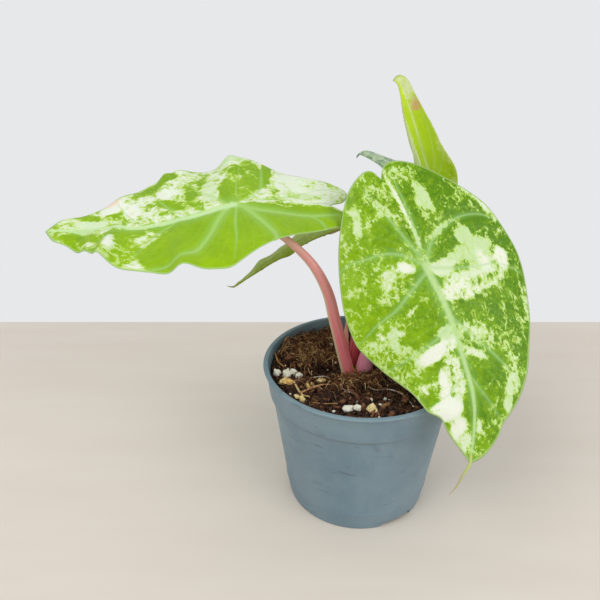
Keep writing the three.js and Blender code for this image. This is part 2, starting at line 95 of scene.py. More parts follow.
# %% [markdown]
# ## The leaves, drawn flat
# A leaf is easiest to draw flat: the stalk's foot at 0, 0, the tip up the y axis, and the outline of
# each half as a few points. A bent midrib then carries it: azimuth and rise say where the midrib runs,
# face_azimuth and face_rise where the upper side looks, fold and curl how the halves bend up from it,
# and waves how the margin ripples. These are the numbers of the solids, so the fine leaf lies on them.

# %% The leaves in millimetres and degrees
LEAVES = {
    "front": {
        "stalk": (23.5, -11.2, 123),
        "azimuth": [(-40, 40), (0, 42), (12, 42), (28, 27), (50, 20), (65, 0), (80, -12)],
        "rise": [(-40, -44), (0, -50), (40, -54), (85, -60)],
        "face_azimuth": [(0, 0)],
        "face_rise": [(0, 38)],
        "fold": ([(0, -3)], [(0, -3)]),
        "curl": ([(0, -14)], [(0, -14)]),
        "curl_reach": 35,
        "waves": [(1, 60, 6, 2), (1, 40, 8, -1.5), (1, 2, 12, 1.5), (-1, 52, 9, 2), (-1, 22, 9, -1.5),
                  (-1, -14, 10, 2)],
        "right": [(0.6, 82), (9.5, 71), (13, 64), (17.5, 60.8), (19.5, 57), (22.8, 50), (33, 36.5),
                  (39, 24), (39.5, 10), (36, -6), (28, -24.5), (15, -42), (8, -46.5), (3, -47.5),
                  (0.7, -46), (-0.8, -41.5)],
        "left": [(0.6, 82), (-4, 79), (-9.5, 72), (-12.3, 66.2), (-19.3, 58.3), (-26.3, 48),
                 (-36, 28.8), (-41.5, 15), (-41.5, 3), (-38, -10), (-29, -28), (-16, -43),
                 (-9, -46.7), (-5.5, -46.5), (-3, -44.5), (-0.8, -41.5)],
    },
    "left": {
        "stalk": (-55.5, 0.6, 146.2),
        "azimuth": [(-50, -66), (-35, -64), (-18, -71), (0, -80), (20, -80), (40, -94), (60, -96),
                    (82, -92)],
        "rise": [(-50, 18), (-35, 10.5), (-18, 10), (0, -6), (18, -15), (40, -8), (60, -5), (82, -4)],
        "face_azimuth": [(0, 0)],
        "face_rise": [(-50, 64.5), (-35, 66), (-18, 73.5), (10, 74), (45, 75), (80, 68)],
        "fold": ([(0, 0)], [(0, 0)]),
        "curl": ([(0, 0)], [(0, 0)]),
        "curl_reach": 40,
        "waves": [(1, 6.6, 10.4, -7.1), (1, -2.4, 4.2, 3), (1, -29, 7.2, -1.7), (1, 29.6, 6.5, 3.1),
                  (1, 18.4, 4, 1.8), (1, 40.6, 6, 1.2), (1, 52.6, 4.5, 2.1), (-1, 47.9, 4, 5.5),
                  (-1, 23.1, 3.8, 5), (-1, -10.8, 8.8, 2.4), (-1, 64, 4.5, -2.8), (-1, 26.3, 3.8, -2.2),
                  (-1, 56, 5, 1.8), (-1, 6, 6, -1.3)],
        "right": [(0, 80.4), (7, 75), (9, 67), (16, 57), (27, 45), (32, 34), (35.2, 21), (39.6, 7),
                  (37.9, -8), (28.4, -24), (19, -38), (16.3, -47.2), (11.7, -56), (4, -52), (0, -44)],
        "left": [(0, 80.4), (-6.4, 75), (-9.8, 67), (-16.4, 57), (-26, 45), (-31, 34), (-36, 21),
                 (-38.5, 7), (-32.5, -8), (-21.5, -24), (-15.5, -38), (-12, -48), (-8, -52), (-3, -50),
                 (0, -44)],
    },
    "young": {
        "stalk": (31, 29.4, 147.1),
        "azimuth": [(0, -90)],
        "rise": [(-18, 74), (0, 70), (36, 67), (44, 58), (48, 10)],
        "face_azimuth": [(0, -15)],
        "face_rise": [(0, 20)],
        "fold": ([(0, 10)], [(0, 10)]),
        "curl": ([(-8, 30), (4, 45), (36, 110)], [(0, 130), (36, 260)]),
        "curl_reach": 16,
        "waves": [(1, 14, 8, 1), (1, -6, 6, -1)],
        "right": [(0, 49), (3, 47), (4.5, 40), (7, 30), (10.3, 20), (13.4, 11), (13.6, 5), (11.6, -2),
                  (8.8, -8), (4.5, -11), (0, -8)],
        "left": [(0, 49), (-1.2, 46), (-3.2, 38), (-7, 27), (-11, 17), (-13.5, 8), (-13.5, 0),
                 (-11, -6), (-8, -10), (-4, -11), (0, -8)],
    },
    "rear": {
        "stalk": (30.4, 53.2, 139.5),
        "azimuth": [(0, -117)],
        "rise": [(-20, 30), (0, 28), (24, 18), (32, 6), (35, -45), (38, -75)],
        "face_azimuth": [(0, 0)],
        "face_rise": [(0, 88)],
        "fold": ([(0, -6)], [(0, -6)]),
        "curl": ([(0, -20)], [(0, -20)]),
        "curl_reach": 16,
        "waves": [(1, 14, 7, 1.2), (-1, 20, 7, 1.2)],
        "right": [(0, 38), (3.5, 36), (8, 28), (13, 16), (15, 4), (14, -8), (9, -17), (4, -18.5), (0, -14)],
        "left": [(0, 38), (-2.6, 36), (-4.8, 28), (-8.6, 16), (-12, 4), (-12, -8), (-8, -16), (-3.5, -18),
                 (0, -14)],
    },
    "back": {
        "stalk": (-19.5, 36.6, 121.6),
        "azimuth": [(0, -74)],
        "rise": [(-14, 12), (0, -16), (22, -33), (50, -34)],
        "face_azimuth": [(0, 180)],
        "face_rise": [(0, 81)],
        "fold": ([(-2, 8), (14, -5)], [(0, -2)]),
        "curl": ([(-2, 4), (14, -10)], [(0, -8)]),
        "curl_reach": 14,
        "waves": [(1, 32, 4, 1.6), (-1, 18, 4, -1.4)],
        "right": [(0, 49), (3, 43), (7, 32), (10.5, 20), (12, 7), (11.5, -3), (8, -10), (4, -11.5), (0, -8)],
        "left": [(0, 49), (-2.4, 43), (-5.5, 32), (-8.5, 20), (-10, 7), (-10, -3), (-7, -9), (-3.5, -11),
                 (0, -8)],
    },
}
print("leaves:", ", ".join(LEAVES))

# %% [markdown]
# ## The midrib
# The midrib is walked in half-millimetre steps from the stalk's foot, each step turned a little as the
# keys say. That gives a middle line in space, and at each place on it a right and an up direction, like
# a small sheet of paper that travels along the rib.

# %% Walk the midrib
MIDRIB_STEP = 0.5


def heading(azimuth, rise):
    """Unit vectors for a compass angle, 0 being towards the viewer, and an angle above the level."""
    a, r = np.radians(azimuth), np.radians(rise)
    return np.stack([np.cos(r) * np.sin(a), -np.cos(r) * np.cos(a), np.sin(r)], axis=-1)


class Midrib:
    def __init__(self, leaf):
        self.leaf = leaf
        ends = [point[1] for point in leaf["right"] + leaf["left"]]
        behind = np.arange(math.floor(min(ends)) - 1, 0, MIDRIB_STEP)
        ahead = np.arange(0, math.ceil(max(ends)) + 1 + MIDRIB_STEP, MIDRIB_STEP)
        self.places = np.concatenate([behind, ahead])
        between = self.places[:-1] + MIDRIB_STEP / 2
        runs = heading(along(leaf["azimuth"], between), along(leaf["rise"], between)) * MIDRIB_STEP
        walked = np.vstack([np.zeros(3), np.cumsum(runs, axis=0)])
        self.points = walked - walked[len(behind)] + np.array(leaf["stalk"], float)

    def frame(self, y):
        """The middle of the rib, the blade's right and its upper side at places y."""
        middle = np.stack([np.interp(y, self.places, self.points[:, k]) for k in range(3)], axis=-1)
        forward = heading(along(self.leaf["azimuth"], y), along(self.leaf["rise"], y))
        up = heading(along(self.leaf["face_azimuth"], y), along(self.leaf["face_rise"], y))
        up = up - forward * (up * forward).sum(axis=-1, keepdims=True)
        up /= np.linalg.norm(up, axis=-1, keepdims=True)
        return middle, np.cross(forward, up), up


WAVE_POWER = 2.2
NEARLY_FLAT = 1e-6


def laid(leaf, midrib, x, y, share):
    """Flat points laid on the midrib. share is how far from the stalk to the margin each one is."""
    x, y = np.asarray(x, float), np.asarray(y, float)
    middle, right, up = midrib.frame(y)
    side = np.where(x < 0, -1.0, 1.0)

    def of_side(keys):
        return np.radians(np.where(side > 0, along(keys[0], y), along(keys[1], y)))

    fold = of_side(leaf["fold"])
    bend = of_side(leaf["curl"]) / leaf["curl_reach"]
    bend = np.where(np.abs(bend) < NEARLY_FLAT, NEARLY_FLAT, bend)
    angle = fold + bend * np.abs(x)
    across = side * (np.sin(angle) - np.sin(fold)) / bend
    lift = (np.cos(fold) - np.cos(angle)) / bend
    normal = up * np.cos(angle)[..., None] - right * (side * np.sin(angle))[..., None]
    wave = np.zeros_like(x)
    for which, place, width, height in leaf["waves"]:
        wave += np.where(side == which, height * np.exp(-(((y - place) / width) ** 2)), 0)
    wave *= share**WAVE_POWER
    return middle + right * across[..., None] + up * lift[..., None] + normal * wave[..., None]


MIDRIBS = {name: Midrib(leaf) for name, leaf in LEAVES.items()}
left_tip = laid(LEAVES["left"], MIDRIBS["left"], [0], [79], np.ones(1))[0]
print("tip of the left leaf in mm:", left_tip.round(1))

# %% [markdown]
# ## The veins
# An alocasia's veins all leave the stalk's foot or the midrib and sweep forward to the margin. On the two
# large leaves and the young one they are drawn where the photograph shows them, as width at the
# root and a few flat points. Little is seen of the rear and back leaves, so a rule draws theirs. Between
# two neighbours, finer ribs are mixed from them.

# %% Vein lines on the flat leaves
VEINS = {
    "front": [
        (1.5, [(0, -1), (-0.3, 20), (-0.5, 40), (-0.6, 60), (0.6, 81)]),
        (0.8, [(0, -4), (-2.6, -15), (-4.5, -28), (-5.5, -40)]),
        (0.8, [(0, -4), (2.5, -15), (5.5, -30), (8, -41)]),
        (0.9, [(-1, -2), (-7, -8.5), (-13, -11.5), (-23, -13), (-31, -11), (-37, -7)]),
        (0.9, [(-1, 1), (-9, 4.5), (-18, 8), (-30, 11), (-39, 17)]),
        (0.9, [(-0.4, 22), (-6, 31), (-12, 39), (-17, 47), (-21, 54)]),
        (0.6, [(-0.5, 46), (-4.5, 54), (-9, 61), (-12, 66)]),
        (0.9, [(1, -2), (7, -9), (13, -12.3), (20, -13.7), (30, -15), (35, -11)]),
        (0.9, [(1, 2), (10, 6.4), (19, 11), (29, 14), (38, 20)]),
        (0.9, [(-0.2, 24), (6, 29), (13, 32), (23, 35.5), (31, 38)]),
        (0.6, [(-0.4, 44), (6, 51), (13, 56), (18, 59)]),
    ],
    "left": [
        (1.9, [(-1, 0), (-2.4, 12), (-1.8, 28), (-1.6, 48), (-0.5, 66), (0, 78)]),
        (1.5, [(-2, -2), (-7.5, -11), (-8.8, -22), (-8, -34), (-5.5, -46)]),
        (1.4, [(-2, 2), (-8, 6.5), (-16, 11), (-22, 15.5), (-27, 20), (-29.5, 27), (-31, 33)]),
        (0.45, [(-3, -1), (-13, 0.6), (-24, 1.5), (-35, 4)]),
        (1.4, [(-3, -4), (-12, -8), (-20, -10.7), (-27, -12), (-34, -10.5)]),
        (0.6, [(-8, -29), (-11, -33.5), (-17, -35), (-25, -32)]),
        (0.6, [(-3, 24), (-8, 31), (-15, 35), (-25, 38)]),
        (0.6, [(-2, 42), (-6, 49), (-13, 54), (-18, 55)]),
        (0.5, [(0, 2), (8, 7.5), (16, 13), (25, 17), (34, 22)]),
        (0.5, [(0, 20), (8, 27), (17, 34), (25, 40)]),
        (0.7, [(-1, 38), (6, 45), (14, 52), (19, 54)]),
        (0.25, [(0, -2), (14, -3), (26, -6), (37, -7)]),
        (0.6, [(1, -5), (8, -12.5), (18, -15.5), (28, -17.5), (35, -16)]),
        (0.7, [(1, -10), (4, -24), (8, -36), (11, -47)]),
    ],
    "young": [
        (0.7, [(0, 0), (0, 24), (0, 48)]),
        (0.3, [(0.5, 0), (4.5, 12), (5.5, 26), (3, 42)]),
        (0.3, [(1, 0), (8, 9), (9.5, 18), (7, 30)]),
        (0.3, [(-0.5, 0), (-4, 12), (-5.4, 24), (-3, 38)]),
        (0.3, [(-1, 0), (-8, 9), (-9, 18), (-6.5, 28)]),
    ],
}
print("veins drawn by hand:", {name: len(lines) for name, lines in VEINS.items()})

# %% Vein lines by rule
SIDE_VEINS = {"rear": 5, "back": 5}
MARGIN_STEPS = 60
LOBE_END = 53
FIRST_END = 44
END_SPACING = 7.5
ROOT_SPACING = 0.16
SHORT_OF_MARGIN = 0.96


def veins_by_rule(leaf, pairs):
    """A midrib, two ribs into the lobes, and pairs of side veins that sweep forward to the margin."""
    length = leaf["right"][0][1]
    lines = [(1.0, [(0, 0), (0, length * 0.5), (0, length * 0.98)])]
    for side, points in ((1, leaf["right"]), (-1, leaf["left"])):
        edge = curve_through(points, MARGIN_STEPS)
        into_lobe = [(0, 0), (side * 2, edge[LOBE_END - 1][1] * 0.5), tuple(edge[LOBE_END] * 0.92)]
        lines.append((0.6, into_lobe))
        for k in range(pairs):
            root = length * ROOT_SPACING * k
            x, y = edge[int(FIRST_END - END_SPACING * k)] * SHORT_OF_MARGIN
            lines.append((0.6, [(0, root), (x * 0.5, root + (y - root) * 0.35), (x, y)]))
    return lines


for name, pairs in SIDE_VEINS.items():
    VEINS[name] = veins_by_rule(LEAVES[name], pairs)
print("veins:", {name: len(lines) for name, lines in VEINS.items()})

# %% [markdown]
# ## How far each point is from a vein
# Furrows, ribs and the pale haze beside a vein all ask the same question: how far is this point from the
# nearest vein? A vein is a line of short straight bits that thins towards the margin, so the distance is
# also given in the vein's own widths.

# %% Distances to the veins
VEIN_FAR = 9.0
VEIN_TAPER = 0.72
VEIN_STEPS = 24
FINE_STEPS = 16
FINE_EACH = 3


def ribs_between(lines):
    """Finer ribs: mixes of neighbouring side veins on the same half of the leaf."""
    fine = []
    for side in (1, -1):
        on_side = [points for _, points in lines[1:] if np.sign(points[-1][0]) == side]
        half = [curve_through(points, FINE_STEPS) for points in on_side]
        half.sort(key=lambda line: math.atan2(line[-1][0] * side, line[-1][1]))
        for a, b in zip(half, half[1:]):
            fine += [a + (b - a) * k / (FINE_EACH + 1) for k in range(1, FINE_EACH + 1)]
    return fine


def gap_to(line, x, y):
    """How far points are from a line, and how far along it the nearest place is, from 0 to 1."""
    best = np.full(x.shape, np.inf)
    where = np.zeros(x.shape)
    count = len(line) - 1
    for k, (p, q) in enumerate(zip(line, line[1:])):
        d = q - p
        t = np.clip(((x - p[0]) * d[0] + (y - p[1]) * d[1]) / (d @ d), 0, 1)
        gap = np.hypot(x - p[0] - t * d[0], y - p[1] - t * d[1])
        nearer = gap < best
        best = np.where(nearer, gap, best)
        where = np.where(nearer, (k + t) / count, where)
    return best, where


def vein_fields(lines, x, y):
    """Distances to a vein in its widths and in mm, to a finer rib in mm, and to the midrib in widths."""
    far = np.full(x.shape, VEIN_FAR)
    gaps, own_widths = [far], []
    for width, points in lines:
        gap, where = gap_to(curve_through(points, VEIN_STEPS), x, y)
        gaps.append(gap)
        own_widths.append(gap / (width * (1 - VEIN_TAPER * where)))
    fine = [gap_to(line, x, y)[0] for line in ribs_between(lines)]
    widths, nearest, fine = (np.minimum.reduce(found) for found in ([far, *own_widths], gaps, [far, *fine]))
    return widths, nearest, fine, own_widths[0]


tip = vein_fields(VEINS["left"], np.array([10.0]), np.array([40.0]))
print("10 mm right of the left leaf's rib, in widths, mm, mm, widths:", [round(float(v[0]), 1) for v in tip])

# %% [markdown]
# ## Where the cream lies
# Variegation is not a print: pale cells grow in sectors that break up into blotches and specks. So a mark
# here is a soft oval on the flat leaf that only leans the pattern one way. bias below 0 keeps it green,
# about 0.3 gives specks, 0.7 a mottle, and 1 or more solid cream; milk says how white the cream is.
# Noise in the material then frays every edge. Each mark is x, y, half width, half height, turn, bias, milk.

# %% Marks on the flat leaves
MARKS = {
    "front": {
        "base": (0.27, 0.3),
        "ovals": [
            (30, 2, 9, 16, 0, 0.24, 0.2),
            (-19, -31, 12, 10, 0, 0.12, 0.2),
            (-10, -22, 5, 9, 0, 0.28, 0.2),
            (8, -19, 7, 7, 20, 0.02, 0.2),
            (-27, -9, 5, 4, 0, -0.3, 0.2),
            (-22, 22, 16, 4, 0, 0.3, 0.3),
            (-9, 50, 7, 9, 0, 0.14, 0.3),
            (14, 26, 6, 5, 30, 0.08, 0.3),
            (24, 36, 9, 8, -40, 0.62, 0.15),
            (31, 28, 6, 9, 20, 0.5, 0.3),
            (14, 0, 9, 6, 0, 0.5, 0.5),
            (20, 6.5, 4.5, 2.5, 0, 0.62, 0.3),
            (-8, 31, 8, 5, -30, 0.6, 0.6),
            (-19, 48, 4, 7, -20, 0.55, 0.4),
            (-28, 34, 4, 6, -20, 0.48, 0.4),
            (11, -33, 7, 7, 0, 0.5, 0.3),
            (-10, -40, 7, 4, 0, 0.46, 0.3),
            (3, -30, 2.5, 12, 6, 0.52, 0.4),
            (-18, 11, 16.5, 6.5, 0, 0.8, 0.55),
            (-9, 14, 9, 4, -8, 0.95, 0.9),
            (-20, 2, 10.5, 5.5, 0, 0.85, 0.1),
            (-20.5, -6, 3.6, 4.5, 0, 1.1, 0.05),
            (-7, 3.5, 8, 3.4, -20, 1.0, 0.5),
            (-14, 6, 4.5, 2.2, 0, 0.22, 0.3),
            (-24, 7, 2, 4.5, 10, 1.0, 0.9),
            (-20, 13.5, 6, 1.6, -10, 0.5, 0.5),
            (-10.5, -4, 5, 2.8, 5, 0.2, 0.3),
            (-13, -12, 5.5, 1.3, 14, 1.05, 0.1),
            (-32.5, 9, 3, 4.2, 10, 1.15, 0.95),
            (9, 35, 9.5, 3.1, 22, 1.25, 1.0),
            (2.5, 32, 3, 3, 0, 1.1, 0.8),
            (10.5, 60, 7, 4.6, 30, 1.3, 1.0),
            (9.5, 50, 2.4, 8, -8, 1.25, 1.0),
            (6, 68, 3, 5, -10, 1.15, 0.95),
            (4.5, 46, 3.2, 11, 0, 0.78, 0.75),
            (15, 49.5, 4, 3, 0, 0.62, 0.9),
            (16.5, 55, 2.6, 2.6, 0, -0.2, 0.2),
            (4, 74, 3.2, 4.5, -20, 0.85, 0.5),
            (3.2, 28, 3.2, 3, 0, 0.95, 0.2),
            (24, 23.5, 2, 6.2, -6, 1.05, 0.2),
            (20.5, 22.5, 1.5, 1.6, 0, 1.0, 0.5),
            (29, 20, 1.6, 2.6, 10, 1.0, 0.8),
            (12.5, 14, 3.8, 0.9, 24, 1.0, 0.6),
            (8, -3.2, 3.8, 2, -42, 1.15, 0.95),
            (12.5, -6, 2.4, 2, -30, 0.62, 0.5),
            (-2.6, -26, 0.75, 16, -2, 1.3, 0.9),
            (-13, -28, 2.1, 7.2, 5, 1.0, 0.1),
            (-9.5, -22, 1.8, 5, 0, 0.7, 0.2),
            (-15.5, -17, 3, 1.4, 20, 0.62, 0.1),
            (18, -27, 1.5, 5.5, -18, 1.05, 0.3),
            (16, -34, 1.9, 1.6, 0, 1.0, 0.3),
            (-17, 54, 2.8, 4.5, -25, 1.0, 0.3),
            (-14.5, 60, 1.8, 1.8, 0, 0.95, 0.3),
            (-5, 38.5, 4.6, 1.8, -38, 1.1, 0.6),
            (-2.2, 67, 1.1, 2.6, 0, 0.95, 0.5),
            (-36, 24, 1.6, 8, -22, 0.62, 0.4),
            (-36, -12, 1.4, 12, 24, 0.75, 0.7),
            (30, 38, 2, 9, 42, 0.7, 0.1),
        ],
    },
    "left": {
        "base": (0.72, 0.8),
        "ovals": [
            (-22, 0, 20.5, 34.5, 0, -1.0, 0.2),
            (-12, -36, 10, 18, 0, -1.0, 0.2),
            (-16, 48, 9, 14, -25, 0.34, 0.3),
            (-4.5, 20, 3.4, 14, 0, -0.8, 0.4),
            (-7, 42, 4, 7, 0, 0.28, 0.3),
            (-22, 43, 6, 4, 30, 0.3, 0.3),
            (-8, 62, 4.6, 10, -28, 0.2, 0.3),
            (-12.5, 57, 1.8, 4.5, -30, 0.85, 0.8),
            (-15, 47.5, 4.2, 1.6, 10, 1.15, 1.0),
            (16.5, -6, 18, 8.5, -24, 0.2, 0.2),
            (23, -19, 12, 2.4, -24, -0.5, 0.1),
            (13, -34, 15, 13, 0, 1.05, 0.75),
            (-2.6, -26, 1.1, 18, 0, 0.45, 0.3),
            (5, -31, 2.5, 9, -6, 0.72, 0.2),
            (37, -3, 4, 8, 10, 0.85, 0.1),
            (15, 8.5, 13, 3, 6, 1.0, 0.3),
            (5.5, 15, 6, 2.2, 25, 0.3, 0.3),
            (15, 15.5, 7, 2.4, 10, 0.42, 0.3),
            (10.5, 27, 2.8, 9, -38, 0.22, 0.3),
            (26.5, 34, 3.4, 13, 25, 0.12, 0.3),
            (31, 25, 2.4, 4.5, 10, -0.3, 0.1),
            (18, 27, 4, 6, 0, 1.0, 0.9),
            (22, 11, 5, 2, -20, 0.5, 0.3),
            (4, 50, 6.5, 4.5, 20, 0.42, 0.4),
            (12, 54, 6, 4, -30, 1.2, 1.0),
            (9.5, 45, 6.5, 3.4, 30, 1.15, 1.0),
            (7.5, 66, 2, 11, -22, 0.02, 0.2),
            (1.5, 63, 2.6, 11, 0, 1.1, 0.35),
            (-4, 30, 2, 4, 0, -0.2, 0.2),
        ],
        "blush": [(17, 56, 4, 3.4)],
    },
    "young": {
        "base": (-0.2, 0.2),
        "ovals": [
            (12, 6, 5, 16, 8, 0.62, 0.15),
            (3, 42, 4, 10, 0, 0.75, 0.6),
            (-9, 16, 6, 24, 0, 0.9, 0.3),
            (3.5, 8, 3.6, 15, 0, -0.8, 0.1),
        ],
        "blush": [(4, 30, 4, 8), (5, 20, 3, 4)],
    },
    "rear": {
        "base": (0.62, 0.25),
        "ovals": [(0, 28, 5, 8, 0, 0.7, 0.5), (-9, 4, 4, 14, 0, 0.4, 0.1)],
    },
    "back": {
        "base": (-0.25, 0.1),
        "ovals": [(-3, 22, 3, 14, 0, 0.12, 0.1), (6, 4, 5, 10, 0, 0.1, 0.1)],
    },
}
EDGE_SOFTNESS = 1.1


def oval_weight(x, y, mark):
    """1 inside a soft oval and 0 outside it."""
    cx, cy, half_width, half_height, turn = mark
    a = math.radians(turn)
    u = (x - cx) * math.cos(a) + (y - cy) * math.sin(a)
    v = (y - cy) * math.cos(a) - (x - cx) * math.sin(a)
    inside = (1 - np.hypot(u / half_width, v / half_height)) * min(half_width, half_height)
    t = np.clip(0.5 + inside / (2 * EDGE_SOFTNESS), 0, 1)
    return t * t * (3 - 2 * t)


def paint(marks, x, y):
    """bias, milk and blush at flat points."""
    bias = np.full(x.shape, float(marks["base"][0]))
    milk = np.full(x.shape, float(marks["base"][1]))
    for *oval, own_bias, own_milk in marks["ovals"]:
        weight = oval_weight(x, y, oval)
        bias += (own_bias - bias) * weight
        milk += (own_milk - milk) * weight
    blush = np.zeros(x.shape)
    for oval in marks.get("blush", []):
        blush = np.maximum(blush, oval_weight(x, y, (*oval, 0)))
    return bias, milk, blush


print("marks:", {name: len(marks["ovals"]) for name, marks in MARKS.items()})

# %% [markdown]
# ## Pieces made of rings
# Leaves, stalks, pot and soil are all rings of points with faces between them, closed by a fan round a
# centre point. A ready primitive with modifiers could be bent to shape, but rings can follow any line and
# keep what a material asks for at each point. So these few helpers make every large piece here.

# %% Faces between rings
def ring_at(radius, z, angles):
    """A level ring of points round the upright axis."""
    return np.column_stack([radius * np.cos(angles), radius * np.sin(angles), np.full(len(angles), z)])


def ring_quads(rings, around, first=0):
    """Quads between rings of points, of which the first starts at the point first."""
    i = np.arange(around)
    j = (i + 1) % around
    faces = []
    for k in range(rings - 1):
        start = first + k * around
        faces += np.stack([start + i, start + j, start + around + j, start + around + i], axis=1).tolist()
    return faces


def ring_fan(centre, first, around):
    """Triangles between a centre point and the ring that starts at first."""
    i = np.arange(around)
    return np.stack([np.full(around, centre), first + i, first + (i + 1) % around], axis=1).tolist()


def turned_over(faces):
    """The same faces, looking the other way."""
    return [[face[0], *face[:0:-1]] for face in faces]


def disc_faces(rings, around):
    """Faces of rings that widen round point 0, seen from above."""
    return turned_over(ring_quads(rings, around, 1)) + ring_fan(0, 1, around)


def closed_faces(rings, around):
    """Faces of a closed body whose two centre points, foot and head, come after its rings."""
    foot = rings * around
    faces = ring_quads(rings, around) + turned_over(ring_fan(foot, 0, around))
    return faces + ring_fan(foot + 1, foot - around, around)


print("faces of a tube of three rings of eight points:", len(closed_faces(3, 8)))

# %% Pieces that ride on the root
def put_attribute(mesh, name, values):
    kind, label = ("FLOAT_VECTOR", "vector") if values.ndim == 2 else ("FLOAT", "value")
    attribute = mesh.attributes.new(name, kind, "POINT")
    attribute.data.foreach_set(label, values.astype(np.float32).ravel())


def new_piece(name, points, faces, replaces=(), smooth=True):
    """A mesh object in metres from points in millimetres, riding on the root body."""
    mesh = bpy.data.meshes.new(name)
    mesh.from_pydata((np.asarray(points, float) * MM).tolist(), [], faces)
    mesh.polygons.foreach_set("use_smooth", np.full(len(mesh.polygons), smooth))
    mesh.update()
    piece = bpy.data.objects.new(name, mesh)
    bpy.context.scene.collection.objects.link(piece)
    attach(piece, "root")
    if replaces:
        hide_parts(*replaces)
    return piece


print("one unit of a mesh is a metre, so points are scaled by", MM)

# %% [markdown]
# ## The blades
# A leaf blade is a thin sheet, 0.6 mm here, that is furrowed over its veins, puffed between them and
# ribbed below. A plane with a displace modifier could do it, but a mesh made ring by ring from the stalk
# to the margin follows the veins and closes at the edge by itself. Each point also keeps what the
# material will ask for: its flat place, the distance to the veins, and the marks.

# %% A blade's points
BLADE_HALF = 0.3
FURROW = 0.28
HAIR_FURROW = 0.06
HAIR_WIDTH = 0.5
PUFF = 0.55
PUFF_WIDTH = 3.6
PUFF_FADE = 8
RIB_PROUD = 0.75
RIB_WIDTH = 4 / 3
RIB_FADE = 12
MARGIN_ROUND = 30
FULL_LENGTH = 80
RING_POWER = 0.9
PROBE = 0.05
FINENESS = {
    "front": (360, 100), "left": (360, 100), "young": (220, 64), "rear": (180, 50), "back": (180, 50),
}


def margin(leaf, count):
    """The margin as flat points, from the tip down the right side to the notch and back up the left."""
    half = count // 2
    right = curve_through(leaf["right"], half)
    left = curve_through(leaf["left"], half)
    return np.vstack([right[:-1], left[::-1][:-1]])


def flat_rings(leaf, around, rings):
    """Flat points, ring by ring from the stalk's foot, and each one's share of the way to the margin."""
    edge = margin(leaf, around)
    shares = np.linspace(0, 1, rings + 1)[1:] ** RING_POWER
    flat = np.vstack([[0, 0], (shares[:, None, None] * edge[None]).reshape(-1, 2)])
    return *flat.T, np.concatenate([[0], np.repeat(shares, len(edge))])


def middle_and_normal(name, x, y, share):
    """Where flat points lie in space, and where the blade's upper side looks there."""
    def at(right, ahead):
        return laid(LEAVES[name], MIDRIBS[name], x + right, y + ahead, share)

    normal = np.cross(at(PROBE, 0) - at(-PROBE, 0), at(0, PROBE) - at(0, -PROBE))
    return at(0, 0), normal / np.linalg.norm(normal, axis=1, keepdims=True)


def bell(distance, width):
    """1 on a line, falling to nothing a few widths away from it."""
    return np.exp(-((distance / width) ** 2))


def fading(share, steepness):
    """1 over most of a blade, falling to 0 at its margin."""
    return np.clip((1 - share) * steepness, 0, 1)


def blade_surfaces(name):
    """Points of a blade's upper and lower side, and the fields that its material reads."""
    leaf = LEAVES[name]
    x, y, share = flat_rings(leaf, *FINENESS[name])
    middle, normal = middle_and_normal(name, x, y, share)
    widths, nearest, fine, main = vein_fields(VEINS[name], x, y)
    size = min(1, leaf["right"][0][1] / FULL_LENGTH)
    relief = PUFF * size * (1 - bell(nearest, PUFF_WIDTH)) * fading(share, PUFF_FADE)
    relief -= FURROW * size * bell(widths, 1) + HAIR_FURROW * bell(fine, HAIR_WIDTH)
    half = BLADE_HALF * np.sqrt(np.clip(1 - share**MARGIN_ROUND, 0, 1))
    rib = RIB_PROUD * size * bell(widths, RIB_WIDTH) * fading(share, RIB_FADE)
    upper = middle + normal * (relief + half)[:, None]
    lower = middle + normal * (relief - half - rib)[:, None]
    fields = {"flat": np.column_stack([x, y, np.zeros_like(x)]), "vein": widths, "fine": fine, "share": share}
    fields["main"] = main
    fields["bias"], fields["milk"], fields["blush"] = paint(MARKS[name], x, y)
    return upper, lower, fields


print("margin points of the front leaf:", len(margin(LEAVES["front"], FINENESS["front"][0])))

# %% Make the fine blades
def make_blade(name):
    """A closed blade, whose upper and lower side share the ring at the margin."""
    around, rings = FINENESS[name]
    upper, lower, fields = blade_surfaces(name)
    last = len(upper) - around
    faces = disc_faces(rings, around)
    below = [*range(len(upper), len(upper) + last), *range(last, len(upper))]
    faces += [[below[corner] for corner in face] for face in turned_over(faces)]
    piece = new_piece(f"leaf_{name}", np.vstack([upper, lower[:last]]), faces, [f"blade_{name}"])
    for label, values in fields.items():
        put_attribute(piece.data, label, np.concatenate([values, values[:last]]))
    put_attribute(piece.data, "under", np.repeat([0.0, 1.0], [len(upper), last]))
    return piece


LEAF_SLOTS = {
    "front": "leaf_variegated",
    "left": "leaf_variegated",
    "young": "leaf_young",
    "rear": "leaf_rear",
    "back": "leaf_olive",
}
BLADES = {name: make_blade(name) for name, slot_name in LEAF_SLOTS.items()}
print("blade points:", {name: len(piece.data.vertices) for name, piece in BLADES.items()})

# %% [markdown]
# ## Wiring helpers for materials
# Every finish here is made from nodes, and most of the work is wiring. A small board class keeps that
# short: each method adds one node and returns its output, and a number, colour or output can be given
# wherever an input is wanted.

# %% A board for wiring nodes
def srgb(code, alpha=1.0):
    """A hex colour as the linear values that a shader socket wants."""
    values = [int(code[k:k + 2], 16) / 255 for k in (0, 2, 4)]
    return (*[v / 12.92 if v <= 0.04045 else ((v + 0.055) / 1.055) ** 2.4 for v in values], alpha)


